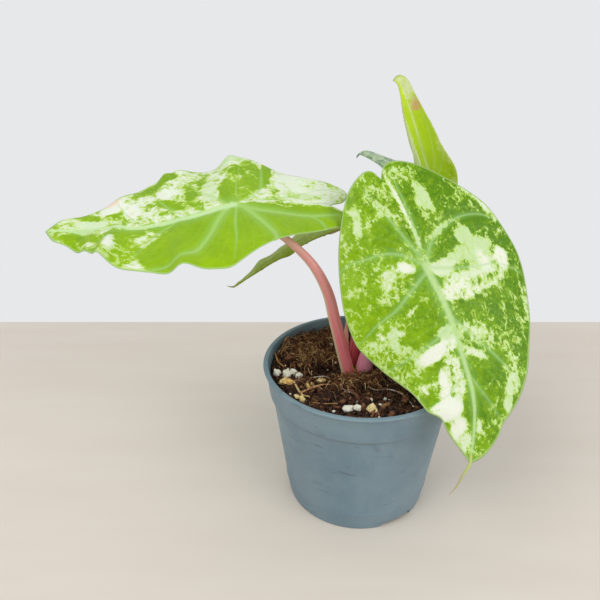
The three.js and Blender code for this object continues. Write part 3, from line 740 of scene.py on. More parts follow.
class Board:
    def __init__(self, tree):
        self.tree = tree

    def put(self, socket, value):
        if isinstance(value, bpy.types.NodeSocket):
            self.tree.links.new(value, socket)
        else:
            socket.default_value = value

    def node(self, kind, **values):
        made = self.tree.nodes.new(kind)
        for name, value in values.items():
            setattr(made, name, value)
        return made

    def math(self, operation, a, b=0.0, clamp=False):
        made = self.node("ShaderNodeMath", operation=operation, use_clamp=clamp)
        self.put(made.inputs[0], a)
        self.put(made.inputs[1], b)
        return made.outputs[0]

    def times(self, a, b):
        return self.math("MULTIPLY", a, b)

    def plus(self, a, b, clamp=False):
        return self.math("ADD", a, b, clamp)

    def step(self, value, low, high, start=0.0, end=1.0):
        """A smooth rise from start to end as value goes from low to high."""
        made = self.node("ShaderNodeMapRange", interpolation_type="SMOOTHSTEP")
        for socket, given in zip(made.inputs, (value, low, high, start, end)):
            self.put(socket, given)
        return made.outputs[0]

    def mix(self, share, a, b, blend="MIX"):
        made = self.node("ShaderNodeMix", data_type="RGBA", blend_type=blend, clamp_factor=True)
        self.put(made.inputs[0], share)
        self.put(made.inputs[6], a)
        self.put(made.inputs[7], b)
        return made.outputs[2]

    def layered(self, colour, layers):
        """A colour with others laid over it, each by its own share."""
        for share, code in layers:
            colour = self.mix(share, colour, srgb(code))
        return colour

    def noise(self, place, scale, detail=2.0, roughness=0.5, distortion=0.0):
        made = self.node("ShaderNodeTexNoise")
        self.put(made.inputs["Vector"], place)
        self.put(made.inputs["Scale"], scale)
        self.put(made.inputs["Detail"], detail)
        self.put(made.inputs["Roughness"], roughness)
        self.put(made.inputs["Distortion"], distortion)
        return made.outputs[0]

    def stretch(self, place, scale, turn=0.0):
        made = self.node("ShaderNodeMapping")
        self.put(made.inputs["Vector"], place)
        made.inputs["Scale"].default_value = scale
        made.inputs["Rotation"].default_value = (0, 0, math.radians(turn))
        return made.outputs[0]

    def field(self, name, vector=False):
        made = self.node("ShaderNodeAttribute", attribute_name=name)
        return made.outputs["Vector" if vector else "Fac"]

    def group(self, tree, **values):
        made = self.node("ShaderNodeGroup", node_tree=tree)
        for name, value in values.items():
            self.put(made.inputs[name], value)
        return made.outputs

    def bump(self, height, strength, distance):
        made = self.node("ShaderNodeBump")
        self.put(made.inputs["Height"], height)
        made.inputs["Strength"].default_value = strength
        made.inputs["Distance"].default_value = distance
        return made.outputs[0]


def new_group(name, inputs, outputs):
    """A node group with named sockets: its tree, its board, and where values come in and go out."""
    tree = bpy.data.node_groups.new(name, "ShaderNodeTree")
    kinds = {"value": "NodeSocketFloat", "colour": "NodeSocketColor", "vector": "NodeSocketVector"}
    for label, kind in inputs:
        tree.interface.new_socket(name=label, in_out="INPUT", socket_type=kinds[kind])
    for label, kind in outputs:
        tree.interface.new_socket(name=label, in_out="OUTPUT", socket_type=kinds[kind])
    board = Board(tree)
    start = board.node("NodeGroupInput").outputs
    end = board.node("NodeGroupOutput").inputs
    return tree, board, start, end


def new_material(name, roughness, **constants):
    """A material with one Principled shader. What is the same all over is set on its own sockets."""
    material = bpy.data.materials.new(name)
    material.use_nodes = True
    shader = material.node_tree.nodes["Principled BSDF"]
    shader.inputs["Roughness"].default_value = roughness
    for label, value in constants.items():
        shader.inputs[label.replace("_", " ")].default_value = value
    return material, Board(material.node_tree), shader.inputs


print("cream in linear light:", [round(c, 3) for c in srgb("F4FAEE")])

# %% [markdown]
# ## Three effects that the leaves share
# Cream mottle, veining and green flesh appear on every leaf with other values, so each is a node group.
# The mottle adds noise of three sizes to the bias: clusters, blotches and specks. Where the sum passes a
# half the cells are pale, and how far past it they are tells rim from middle, as pale cells thin out
# towards a blotch's edge. Flecks are single pale cells in the green, and grit single green ones in the
# cream. Working in flat millimetres keeps the pattern on the leaf however it bends.

# %% Cream mottle
def centred(board, value, gain):
    """Noise of a middle of a half, turned to a lean either way."""
    made = board.node("ShaderNodeMath", operation="MULTIPLY_ADD")
    board.put(made.inputs[0], value)
    made.inputs[1].default_value = gain
    made.inputs[2].default_value = -gain / 2
    return made.outputs[0]


MOTTLE, board, start, end = new_group(
    "cream_mottle",
    [("Place", "vector"), ("Bias", "value"), ("Speck Size", "value")],
    [("Pale", "value"), ("Depth", "value"), ("Fleck", "value"), ("Grit", "value")],
)
small = board.math("DIVIDE", 1.0, start["Speck Size"])
drift = board.stretch(start["Place"], (1.1, 0.8, 1), 12)
slant = board.stretch(start["Place"], (1.5, 0.7, 1), -20)
specks = centred(board, board.noise(drift, small, 3, 0.6, 0.5), 1.15)
blotches = centred(board, board.noise(drift, board.times(small, 0.34), 5, 0.66, 0.9), 2.3)
clusters = centred(board, board.noise(start["Place"], board.times(small, 0.11), 3, 0.55, 0.6), 1.3)
total = board.plus(board.plus(specks, blotches), board.plus(clusters, start["Bias"]))
dust = centred(board, board.noise(drift, board.times(small, 0.8), 4, 0.7, 0.8), 2.0)
dusty = board.plus(dust, board.times(total, 0.75))
grit = board.noise(slant, board.times(small, 1.3), 4, 0.75, 1.2)
board.put(end["Pale"], board.step(total, 0.44, 0.6))
board.put(end["Depth"], board.step(total, 0.48, 1.0))
board.put(end["Fleck"], board.step(dusty, 0.18, 0.6))
board.put(end["Grit"], board.step(grit, 0.5, 0.66))
print("mottle nodes:", len(MOTTLE.nodes))

# %% Veining and green flesh
VEINING, board, start, end = new_group(
    "veining",
    [("Vein", "value"), ("Main", "value"), ("Fine", "value"), ("Place", "vector")],
    [("Midrib", "value"), ("Rib", "value"), ("Halo", "value"), ("Hair", "value"), ("Height", "value")],
)
waver = board.step(board.noise(start["Place"], 0.5, 3, 0.6), 0.2, 0.8, 0.8, 1.25)
wide = board.times(start["Vein"], waver)
cells = board.times(board.noise(start["Place"], 1.6, 3, 0.6), 0.6)
lines = board.plus(board.step(start["Fine"], 0.7, 0.0), board.step(start["Vein"], 1.2, 0.0))
board.put(end["Midrib"], board.step(board.times(start["Main"], waver), 1.5, 0.35))
board.put(end["Rib"], board.step(wide, 1.6, 0.1))
board.put(end["Halo"], board.step(wide, 4.6, 0.2))
board.put(end["Hair"], board.step(start["Fine"], 0.7, 0.1))
board.put(end["Height"], board.math("SUBTRACT", cells, lines))

FLESH, board, start, end = new_group(
    "green_flesh",
    [("Place", "vector"), ("Deep", "colour"), ("Bright", "colour"), ("Sun", "value"), ("Grain", "value")],
    [("Color", "colour")],
)
patches = centred(board, board.noise(start["Place"], 0.09, 4, 0.6), 1.5)
grain = centred(board, board.noise(start["Place"], 0.5, 5, 0.7, 0.6), 2.0)
lean = board.plus(patches, board.times(grain, start["Grain"]))
light = board.plus(start["Sun"], lean, clamp=True)
board.put(end["Color"], board.mix(light, start["Deep"], start["Bright"]))
print("groups:", [tree.name for tree in (MOTTLE, VEINING, FLESH)])

# %% [markdown]
# ## Leaf finishes
# Each leaf material reads the fields stored in its mesh and stacks them as the plant does: green flesh
# with a silver-green haze beside the veins, cream cells over it, the pale ribs, a thin clear margin, and a
# duller underside. A little subsurface light stands for the glow of a thin leaf against the window.

# %% Leaf materials
def leaf_material(name, colours, specks, grain, sun, sun_slope, haze, ribs):
    """Flesh, cream, ribs, margin and underside, one over the other, as the mesh's fields say."""
    material, board, shader = new_material(
        name, 0.45, Subsurface_Weight=0.18, Subsurface_Scale=1.2 * MM, Specular_IOR_Level=0.16
    )
    shader["Subsurface Radius"].default_value = (0.6, 1.0, 0.25)
    tone = {label: srgb(code) for label, code in colours.items()}
    place, milk, under = board.field("flat", vector=True), board.field("milk"), board.field("under")
    across = board.node("ShaderNodeSeparateXYZ")
    board.put(across.inputs[0], place)
    sunny = board.plus(board.times(across.outputs[0], sun_slope), sun)
    flesh = board.group(FLESH, Place=place, Deep=tone["deep"], Bright=tone["bright"], Sun=sunny, Grain=grain)
    mottle = board.group(MOTTLE, **{"Place": place, "Bias": board.field("bias"), "Speck Size": specks})
    veins = board.group(
        VEINING, Vein=board.field("vein"), Main=board.field("main"), Fine=board.field("fine"), Place=place
    )
    gritty = board.times(mottle["Grit"], board.math("SUBTRACT", 1.0, board.times(milk, 0.8)))
    cream = board.mix(mottle["Depth"], tone["rim"], board.mix(milk, tone["mint"], tone["white"]))
    cream = board.layered(cream, [
        (board.times(gritty, 0.6), colours["fleck"]),
        (board.field("blush"), colours["blush"]),
    ])
    green = board.layered(flesh["Color"], [
        (board.times(veins["Halo"], haze), colours["haze"]),
        (board.times(veins["Hair"], 0.07), colours["rib"]),
        (board.times(mottle["Fleck"], 0.7), colours["fleck"]),
    ])
    colour = board.layered(board.mix(mottle["Pale"], green, cream), [
        (board.times(veins["Rib"], ribs), colours["rib"]),
        (board.times(veins["Midrib"], min(1, ribs + 0.3)), colours["midrib"]),
        (board.step(board.field("share"), 0.975, 0.995), colours["margin"]),
        (board.times(under, 0.8), colours["under"]),
    ])
    board.put(shader["Base Color"], colour)
    sheen = board.plus(board.times(mottle["Pale"], 0.08), 0.38)
    board.put(shader["Roughness"], board.plus(sheen, board.times(under, 0.2)))
    board.put(shader["Normal"], board.bump(veins["Height"], 0.35, 0.12 * MM))
    return material


print("groups in a leaf finish:", MOTTLE.name, VEINING.name, FLESH.name)

# %% Leaf colours
SPLASHED = {
    "deep": "56830C", "bright": "88B006", "mint": "C2DAA0", "white": "E8EADA", "rim": "B8D468",
    "fleck": "A2C83A", "haze": "84B458", "rib": "AFD28C", "midrib": "BCD894", "margin": "A8C678",
    "under": "A5C46A", "blush": "F2DCC0",
}
HALF_PLAIN = {
    "deep": "76A010", "bright": "96BC04", "mint": "C8DEAC", "white": "E8EBDC", "rim": "B8D45C",
    "fleck": "A4C828", "haze": "94C25A", "rib": "AED276", "midrib": "C8E2A6", "margin": "A8C67C",
    "under": "A5C46A", "blush": "F0D2B8",
}
YOUNG = {
    "deep": "AACC1C", "bright": "C8DE3A", "mint": "D4E492", "white": "E2EAC8", "rim": "CCDE68",
    "fleck": "C4DA48", "haze": "C8DC70", "rib": "D4E694", "midrib": "DEEBAE", "margin": "B4C468",
    "under": "CAD8A0", "blush": "D2B272",
}
REAR = {
    "deep": "64845E", "bright": "7C9C72", "mint": "B4C4A0", "white": "C8D2B8", "rim": "92A882",
    "fleck": "8CA67C", "haze": "849E7A", "rib": "9FB48E", "midrib": "B0C2A0", "margin": "748C6C",
    "under": "98AC88", "blush": "B4C4A0",
}
OLIVE = {
    "deep": "8A9E18", "bright": "B4C838", "mint": "C0CE50", "white": "CCD670", "rim": "B4C444",
    "fleck": "B0C230", "haze": "A9B844", "rib": "BECA66", "midrib": "CAD67A", "margin": "8A8428",
    "under": "D0E410", "blush": "C0CE50",
}
LEAF_FINISHES = {
    "front": leaf_material("leaf_front_finish", SPLASHED, specks=1.15, grain=1.0, sun=0.45, sun_slope=0.014,
                           haze=0.5, ribs=0.5),
    "left": leaf_material("leaf_left_finish", HALF_PLAIN, specks=1.4, grain=0.5, sun=0.5, sun_slope=-0.008,
                          haze=0.6, ribs=0.6),
    "young": leaf_material("leaf_young_finish", YOUNG, specks=2.2, grain=0.3, sun=0.5, sun_slope=-0.02,
                           haze=0.3, ribs=0.3),
    "rear": leaf_material("leaf_rear_finish", REAR, specks=1.0, grain=0.6, sun=0.5, sun_slope=0.0,
                          haze=0.5, ribs=0.5),
    "back": leaf_material("leaf_olive_finish", OLIVE, specks=1.5, grain=0.8, sun=0.5, sun_slope=0.0,
                          haze=0.4, ribs=0.4),
}
for name, piece in BLADES.items():
    piece.data.materials.append(LEAF_FINISHES[name])
print("leaf finishes:", len(LEAF_FINISHES))

# %% [markdown]
# ## The stalks
# A leaf stalk is a fleshy tube, round above and sheathed at its foot, where one edge of the sheath stands
# proud as a thin tan wing. A curve object with a bevel could not carry that wing or the streaks, so the
# tube is built ring by ring and stores how far along and how far round each point is.

# %% Tubes that remember their length
STALKS = {
    "front": {
        "path": [(1.4, 2.8, 45), (1.4, 2.8, 62), (4, 2, 78), (9, 0, 96), (17, -4.6, 113)],
        "radius": [(0, 3.7), (0.24, 3.8), (0.34, 3.2), (0.6, 2.7), (1, 2.2)],
    },
    "left": {
        "path": [(-5.2, 0, 45), (-5.2, 0, 62), (-8.7, 0, 77.3), (-12.5, 0, 92.4), (-16, 0, 106.2),
                 (-22.1, 0, 118.4), (-29.8, 0, 127.2), (-40.5, 0, 136)],
        "radius": [(0, 2.7), (0.25, 2.7), (0.5, 2.4), (0.66, 1.95), (0.82, 1.55), (1, 1.45)],
        "wing": ((-1, -0.35, 0), 0.9, 0.72),
    },
    "young": {
        "path": [(5.4, 9.6, 45), (5.4, 9.6, 62), (8, 13, 84), (16, 22.5, 112), (26.5, 33, 137)],
        "radius": [(0, 2.7), (0.5, 2.3), (1, 1.8)],
    },
    "rear": {
        "path": [(0.6, 15, 45), (0.6, 15, 62), (5, 21, 86), (14, 34, 112), (25, 48.5, 131)],
        "radius": [(0, 2.4), (0.5, 2), (1, 1.6)],
    },
    "back": {
        "path": [(-3.4, 9.4, 45), (-3.4, 9.4, 64), (-1.5, 13, 77.3), (0.6, 18, 88), (1.8, 25, 100.5),
                 (1.6, 35, 110.5), (-1, 44, 116.5), (-7, 48, 118.6), (-13.5, 43.5, 118.2)],
        "radius": [(0, 2.6), (0.5, 2.1), (1, 1.6)],
    },
}
STALK_SIDES = 40
STALK_STEPS = 150
SEAT_STEPS = 6
WING_WIDTH = 0.035
FLARE_FROM = 0.94
FLARE = 1.25


def unit(vectors):
    return vectors / np.linalg.norm(vectors, axis=1, keepdims=True)


def directions(line, seat):
    """Where a line runs at each of its points. Its last steps turn to the direction of the seat."""
    forward = unit(np.gradient(line, axis=0))
    if seat is None:
        return forward
    to_end = np.arange(len(line))[::-1]
    blend = np.clip(1 - to_end / SEAT_STEPS, 0, 1)[:, None]
    return unit(forward * (1 - blend) + seat * blend)


def tube(path, radius, sides, steps, reference=(1, 0, 0), wing=None, flat=1.0, seat=None):
    """Points, faces, share of the length and share of the turn of a closed tube."""
    line = curve_through(path, steps)
    forward = directions(line, seat)
    reference = np.array(reference, float)
    right = unit(reference - forward * (forward @ reference)[:, None])
    up = np.cross(forward, right)
    share = np.linspace(0, 1, steps + 1)
    turn = np.arange(sides) / sides
    reach = np.repeat(along(radius, share)[:, None], sides, axis=1)
    if wing:
        proud, until = wing
        edge = bell(np.minimum(turn, 1 - turn), WING_WIDTH)
        reach = reach + proud * np.clip(1 - share / until, 0, 1)[:, None] * edge
    u = reach * np.cos(2 * np.pi * turn)
    v = reach * np.sin(2 * np.pi * turn) * flat
    rings = line[:, None] + right[:, None] * u[..., None] + up[:, None] * v[..., None]
    points = np.vstack([rings.reshape(-1, 3), line[0], line[-1]])
    run = np.concatenate([np.repeat(share, sides), [0, 1]])
    round_it = np.concatenate([np.tile(turn, steps + 1), [0, 0]])
    return points, closed_faces(steps + 1, sides), run, round_it


def tube_piece(name, made, replaces=()):
    """A piece from what tube gives, which keeps how far along and how far round each point is."""
    points, faces, run, turn = made
    piece = new_piece(name, points, faces, replaces)
    put_attribute(piece.data, "run", run)
    put_attribute(piece.data, "turn", turn)
    return piece


def make_stalk(name):
    """A stalk from the soil to the underside of its blade, where it flares and turns to face the blade."""
    stalk = STALKS[name]
    middle, _, up = MIDRIBS[name].frame(np.array([0.0]))
    end = middle[0] - up[0] * BLADE_HALF
    towards, *wing = stalk.get("wing", ((1, 0, 0),))
    top = stalk["radius"][-1][1]
    radius = [*stalk["radius"][:-1], (FLARE_FROM, top), (1, top * FLARE)]
    made = tube([*stalk["path"], end], radius, STALK_SIDES, STALK_STEPS, towards, wing, seat=up[0])
    return tube_piece(f"stalk_{name}", made, [f"petiole_{name}"])


STALK_PIECES = {name: make_stalk(name) for name in STALKS}
print("stalk points:", len(STALK_PIECES["left"].data.vertices))

# %% [markdown]
# ## Stalk finish
# The stalks are the pink of the name: red at the foot, fading to a dusty rose and tan near the blade, with
# long fine streaks where the fibres run. Streaks come from noise squeezed along the length, so they read
# the stored turn and run instead of the surface's own coordinates.

# %% Streaks along a stalk
STREAKS, board, start, end = new_group(
    "long_streaks", [("Run", "value"), ("Turn", "value"), ("Count", "value")], [("Streak", "value")]
)
angle = board.times(start["Turn"], 2 * math.pi)
spread_out = board.node("ShaderNodeCombineXYZ")
board.put(spread_out.inputs[0], board.times(board.math("COSINE", angle), start["Count"]))
board.put(spread_out.inputs[1], board.times(board.math("SINE", angle), start["Count"]))
board.put(spread_out.inputs[2], board.times(start["Run"], 6.0))
board.put(end["Streak"], board.noise(spread_out.outputs[0], 1.0, 4, 0.6))


def streaks_on(board, count):
    """The streaks of a tube, finer for a higher count."""
    return board.group(STREAKS, Run=board.field("run"), Turn=board.field("turn"), Count=count)["Streak"]


PALE_STREAK, DEEP_STREAK, WING_TAN = "F2C4B8", "C04C5C", "D8C29C"


def stalk_material(name, foot, middle, top, wing_strength=0.0):
    material, board, shader = new_material(
        name, 0.4, Subsurface_Weight=0.25, Subsurface_Scale=1.5 * MM, Specular_IOR_Level=0.5
    )
    shader["Subsurface Radius"].default_value = (1.0, 0.45, 0.35)
    run, turn = board.field("run"), board.field("turn")
    streak = streaks_on(board, 4.5)
    beside = board.math("MINIMUM", turn, board.math("SUBTRACT", 1.0, turn))
    wing = board.times(board.step(beside, 0.085, 0.05), board.step(run, 0.8, 0.62))
    colour = board.mix(board.step(run, 0.3, 0.62), srgb(foot), srgb(middle))
    board.put(shader["Base Color"], board.layered(colour, [
        (board.step(run, 0.6, 0.95), top),
        (board.step(streak, 0.45, 0.75, 0.0, 0.35), PALE_STREAK),
        (board.step(streak, 0.45, 0.2, 0.0, 0.3), DEEP_STREAK),
        (board.times(wing, wing_strength), WING_TAN),
    ]))
    board.put(shader["Normal"], board.bump(streak, 0.25, 0.25 * MM))
    return material


STALK_FINISHES = {
    "front": stalk_material("stalk_mauve_finish", "DC8AA6", "DE8F98", "D2B294"),
    "left": stalk_material("stalk_pink_finish", "EE7C86", "EC9A96", "C4B48E", 0.95),
    "young": stalk_material("stalk_rose_finish", "D8606E", "D89690", "C4B48A"),
    "rear": stalk_material("stalk_rose_finish", "D8606E", "D89690", "BAB48A"),
    "back": stalk_material("stalk_red_finish", "CC4C5A", "D07C74", "B8AC64"),
}
for name, piece in STALK_PIECES.items():
    piece.data.materials.append(STALK_FINISHES[name])
print("stalk finishes:", sorted({material.name for material in STALK_FINISHES.values()}))

# %% [markdown]
# ## Threads, sheath and the fine things at the foot
# A dry thread hangs from the tips of two leaves, and between the stalks' feet stands the papery sheath of
# an old leaf. They are small tubes and a thin bent strip, made with the same tube helper.

# %% Threads and sheath
THREADS = {
    "front": [(-2.8, -2.1, -4.2), (-5.5, -4.2, -8.4), (-8.3, -5.6, -11.2)],
    "back": [(-1.2, -0.3, 0), (-2.3, -0.4, 0.3), (-3.2, -0.5, 0.6)],
}
SHEATH = {
    "path": [(-7, 6.2, 50), (-7, 6.2, 62), (-7, 7.4, 72), (-6.6, 9, 80), (-6.6, 10, 86)],
    "radius": [(0, 1.7), (0.5, 2.1), (0.8, 1.3), (1, 0.25)],
}


def make_thread(name):
    """A thread that leaves the midrib just before a leaf's tip and hangs from it."""
    x, y = LEAVES[name]["right"][0]
    root, tip = laid(LEAVES[name], MIDRIBS[name], [x, x], [y - 4, y - 0.3], np.ones(2))
    path = [root, tip, *[tip + np.array(offset) for offset in THREADS[name]]]
    made = tube(path, [(0, 0.7), (0.3, 0.6), (1, 0.12)], 10, 40)
    return tube_piece(f"thread_{name}", made)


thread_finish, board, shader = new_material("dry_thread_finish", 0.6)
colour = board.mix(board.step(board.field("run"), 0.2, 0.8), srgb("B4C46A"), srgb("A59A62"))
pale = board.step(streaks_on(board, 2.0), 0.4, 0.7, 0, 0.5)
board.put(shader["Base Color"], board.mix(pale, colour, srgb("CFCB92")))
for name in THREADS:
    make_thread(name).data.materials.append(thread_finish)

made = tube(SHEATH["path"], SHEATH["radius"], 24, 60, (1, -0.3, 0), flat=0.4)
sheath = tube_piece("sheath_old", made, ["sheath"])
sheath_finish, board, shader = new_material("papery_sheath_finish", 0.5, Subsurface_Weight=0.2)
shader["Subsurface Scale"].default_value = MM
streak = streaks_on(board, 3.0)
papery = board.mix(streak, srgb("F0A496"), srgb("F6CAB6"))
at_foot = board.step(board.field("run"), 0.55, 0.35)
board.put(shader["Base Color"], board.mix(at_foot, papery, srgb("DC6E74")))
board.put(shader["Normal"], board.bump(streak, 0.3, 0.2 * MM))
sheath.data.materials.append(sheath_finish)
print("sheath points:", len(sheath.data.vertices))

# %% [markdown]
# ## The pot
# The pot is pressed from one sheet of grey plastic: a thin wall, a collar that steps out, a rolled lip, a
# foot with three notches and drain holes. It is turned from a profile like a vase, finer than the solid,
# and the holes and notches are cut out of it with booleans, as a drill and a saw would.

# %% The pot's profile
POT = {
    "height": 71.1, "rim": 45.0, "lip": 1.6, "collar_top": 44.0, "collar_foot": 42.2, "collar_depth": 14.5,
    "body_top": 41.0, "foot": 33.2, "wall": 1.2, "foot_width": 5.0, "pad": 14.0, "recess": 2.5,
    "ring_height": 9.5, "ring_proud": 0.3,
}
COLLAR_FOOT = POT["height"] - POT["collar_depth"]
POT_FLOOR = POT["recess"] + POT["wall"]
FOOT_ROUND = 0.7
LIP_ROUND = 0.75


def pot_wall_at(z):
    """The inside radius of the pot at a height."""
    if z > COLLAR_FOOT:
        share = (z - COLLAR_FOOT) / POT["collar_depth"]
        return POT["collar_foot"] + (POT["collar_top"] - POT["collar_foot"]) * share - POT["wall"]
    return POT["foot"] + (POT["body_top"] - POT["foot"]) * z / COLLAR_FOOT - POT["wall"]


def out(z, proud=0.0):
    """A point of the outside at a height."""
    return (pot_wall_at(z) + POT["wall"] + proud, z)


def arc(radius, z, size, start, end, count=6):
    """Points of a round stretch about a middle."""
    turns = np.radians(np.linspace(start, end, count))
    return [(radius + size * math.cos(t), z + size * math.sin(t)) for t in turns]


def pot_profile():
    """Radius and height of the turned pot, from the middle of the foot, up outside, and down inside."""
    height, recess, ring, pad, rim = (POT[part] for part in ("height", "recess", "ring_height", "pad", "rim"))
    lip_foot = height - POT["lip"]
    inner = POT["foot"] - POT["foot_width"]
    collar = POT["collar_foot"]
    profile = [(0, 0), (pad - 0.4, 0), (pad, 0.2), (pad + 0.6, recess - 0.2), (pad + 1, recess)]
    profile += [(inner - 0.8, recess), (inner - 0.5, recess - 0.3), (inner - 0.1, 0.2), (inner + 0.2, 0)]
    profile += arc(POT["foot"] - FOOT_ROUND, FOOT_ROUND, FOOT_ROUND, -90, -10)
    profile += [out(2), out(ring - 1.6), out(ring - 1, 0.05), out(ring, POT["ring_proud"])]
    profile += [out(ring + 1, 0.05), out(ring + 1.6), out(30)]
    profile += [out(COLLAR_FOOT - 1.2), out(COLLAR_FOOT - 0.5, 0.05), out(COLLAR_FOOT - 0.15, 0.3)]
    profile += [(collar - 0.45, COLLAR_FOOT + 0.05), (collar - 0.12, COLLAR_FOOT + 0.3)]
    profile += [out(COLLAR_FOOT + 0.8), out(COLLAR_FOOT + 6), out(lip_foot - 1)]
    profile += [(POT["collar_top"] - 0.05, lip_foot - 0.4), (rim - 0.55, lip_foot - 0.1)]
    profile += arc(rim - LIP_ROUND, height - LIP_ROUND, LIP_ROUND, -60, 90, 9)
    profile += [(pot_wall_at(height) + 0.5, height), (pot_wall_at(height - 0.3) + 0.12, height - 0.2)]
    down = (height - 1, 66, 60, COLLAR_FOOT + 0.6, COLLAR_FOOT - 0.6, 40, 20, POT_FLOOR + 1)
    profile += [(pot_wall_at(z), z) for z in down]
    return profile + [(pot_wall_at(POT_FLOOR) - 1, POT_FLOOR), (0, POT_FLOOR)]


print("pot profile points:", len(pot_profile()))

# %% Turn and cut the pot
POT_SEGMENTS = 144
DRAIN_HOLES = 6
DRAIN_RADIUS = 3.0
DRAIN_CIRCLE = 21.0
DRAIN_CUT = (1, 6)
NOTCHES = 3
NOTCH_FROM = 16
NOTCH_TO = 46
NOTCH_POINTS = 13
SHARP = math.radians(38)


def turn_profile(profile, segments):
    """A closed turned mesh from a profile whose two ends lie on the axis."""
    angles = 2 * np.pi * np.arange(segments) / segments
    rings = [ring_at(radius, z, angles) for radius, z in profile[1:-1]]
    points = np.vstack([*rings, [[0, 0, profile[0][1]]], [[0, 0, profile[-1][1]]]])
    return points, closed_faces(len(rings), segments)


def carve(piece, cutter):
    """Cuts a body, given as a bmesh, out of a piece."""
    mesh = bpy.data.meshes.new("cutter")
    cutter.to_mesh(mesh)
    tool = bpy.data.objects.new("cutter", mesh)
    bpy.context.scene.collection.objects.link(tool)
    modifier = piece.modifiers.new("cut", "BOOLEAN")
    modifier.object = tool
    modifier.operation = "DIFFERENCE"
    modifier.solver = "EXACT"
    bpy.context.view_layer.update()
    graph = bpy.context.evaluated_depsgraph_get()
    cut = bpy.data.meshes.new_from_object(piece.evaluated_get(graph))
    piece.modifiers.clear()
    old = piece.data
    piece.data = cut
    bpy.data.meshes.remove(old)
    bpy.data.objects.remove(tool)


def prism(outline, low, high):
    """A closed upright prism as a bmesh, from an outline in millimetres."""
    body = bmesh.new()
    floor = [body.verts.new((x * MM, y * MM, low * MM)) for x, y in outline]
    roof = [body.verts.new((x * MM, y * MM, high * MM)) for x, y in outline]
    body.faces.new(floor[::-1])
    body.faces.new(roof)
    for k in range(len(outline)):
        after = (k + 1) % len(outline)
        body.faces.new((floor[k], floor[after], roof[after], roof[k]))
    return body


def on_circle(radius, angles):
    return [(radius * math.cos(math.radians(a)), radius * math.sin(math.radians(a))) for a in angles]


points, faces = turn_profile(pot_profile(), POT_SEGMENTS)
pot = new_piece("pot_grey", points, faces, ["pot"])
for x, y in on_circle(DRAIN_CIRCLE, [360 * k / DRAIN_HOLES for k in range(DRAIN_HOLES)]):
    outline = [(x + u, y + v) for u, v in on_circle(DRAIN_RADIUS, np.arange(0, 360, 15))]
    carve(pot, prism(outline, *DRAIN_CUT))
for k in range(NOTCHES):
    begin = NOTCH_FROM - 90 + 360 * k / NOTCHES
    sweep = np.linspace(begin, begin + NOTCH_TO - NOTCH_FROM, NOTCH_POINTS)
    outline = on_circle(POT["foot"] + 3, sweep)
    outline += on_circle(POT["foot"] - POT["foot_width"] - 1, sweep[::-1])
    carve(pot, prism(outline, -1, POT["recess"]))
shaped = bmesh.new()
shaped.from_mesh(pot.data)
for edge in shaped.edges:
    edge.smooth = len(edge.link_faces) == 2 and edge.calc_face_angle() < SHARP
for face in shaped.faces:
    face.smooth = True
shaped.to_mesh(pot.data)
print("pot faces:", len(pot.data.polygons))

# %% [markdown]
# ## Grey plastic
# Grey plastic is never quite one colour. The finish has a soft mottle, dirt along the step of the collar,
# scuffs and smudges where the pot was handled, dried drops, and specks of soil that thicken near the lip.
# Each mark is noise of its own size, passed through a step and laid over the grey.

# %% Pot finish
pot_finish, board, shader = new_material("grey_plastic_finish", 0.45, Specular_IOR_Level=0.4)
place = board.node("ShaderNodeNewGeometry").outputs["Position"]
apart = board.node("ShaderNodeSeparateXYZ")
board.put(apart.inputs[0], place)
height = apart.outputs[2]
cloud = board.noise(place, 28, 4, 0.6)
streaky = board.noise(board.stretch(place, (1, 1, 0.25)), 190, 4, 0.6)
scuff = board.noise(board.stretch(place, (60, 60, 420)), 1.0, 3, 0.7, 0.8)
smudge = board.noise(board.stretch(place, (1, 1, 1.6)), 95, 5, 0.7, 1.0)
dried = board.step(board.noise(place, 260, 3, 0.6), 0.7, 0.76, 0, 0.6)
specks = board.step(board.noise(place, 620, 2, 0.5), 0.74, 0.78)
from_step = board.math("ABSOLUTE", board.math("SUBTRACT", height, COLLAR_FOOT * MM))
step_dirt = board.times(board.step(from_step, 1.3 * MM, 0.2 * MM), board.step(cloud, 0.35, 0.6))
grey = board.mix(board.step(cloud, 0.3, 0.7), srgb("6A818E"), srgb("7A909A"))
board.put(shader["Base Color"], board.layered(grey, [
    (board.step(streaky, 0.45, 0.75, 0, 0.25), "8A9CA4"),
    (board.times(step_dirt, 0.45), "5B5F5E"),
    (board.step(scuff, 0.62, 0.7, 0, 0.45), "4D5358"),
    (board.step(smudge, 0.63, 0.75, 0, 0.5), "565E62"),
    (board.times(dried, board.step(height, 50 * MM, 70 * MM)), "C4CCCC"),
    (board.times(specks, board.step(height, 30 * MM, 70 * MM, 0.25, 1.0)), "4A3A2E"),
]))
board.put(shader["Roughness"], board.step(streaky, 0.2, 0.8, 0.38, 0.55))
uneven = board.plus(streaky, board.times(scuff, 0.5))
board.put(shader["Normal"], board.bump(uneven, 0.12, 0.2 * MM))
pot.data.materials.append(pot_finish)
print("pot finish nodes:", len(pot_finish.node_tree.nodes))

# %% [markdown]
# ## The soil
# Potting mix for aroids is dark peat and coir with bark, fibres and perlite. One bumpy disc gives the body
# of it. Its level and its small clods are the solid's. The large lumps, the hollow left of the stalks and
# the rise at the back follow the photograph more closely than the solid does, and noise of three sizes
# crumbles the surface.

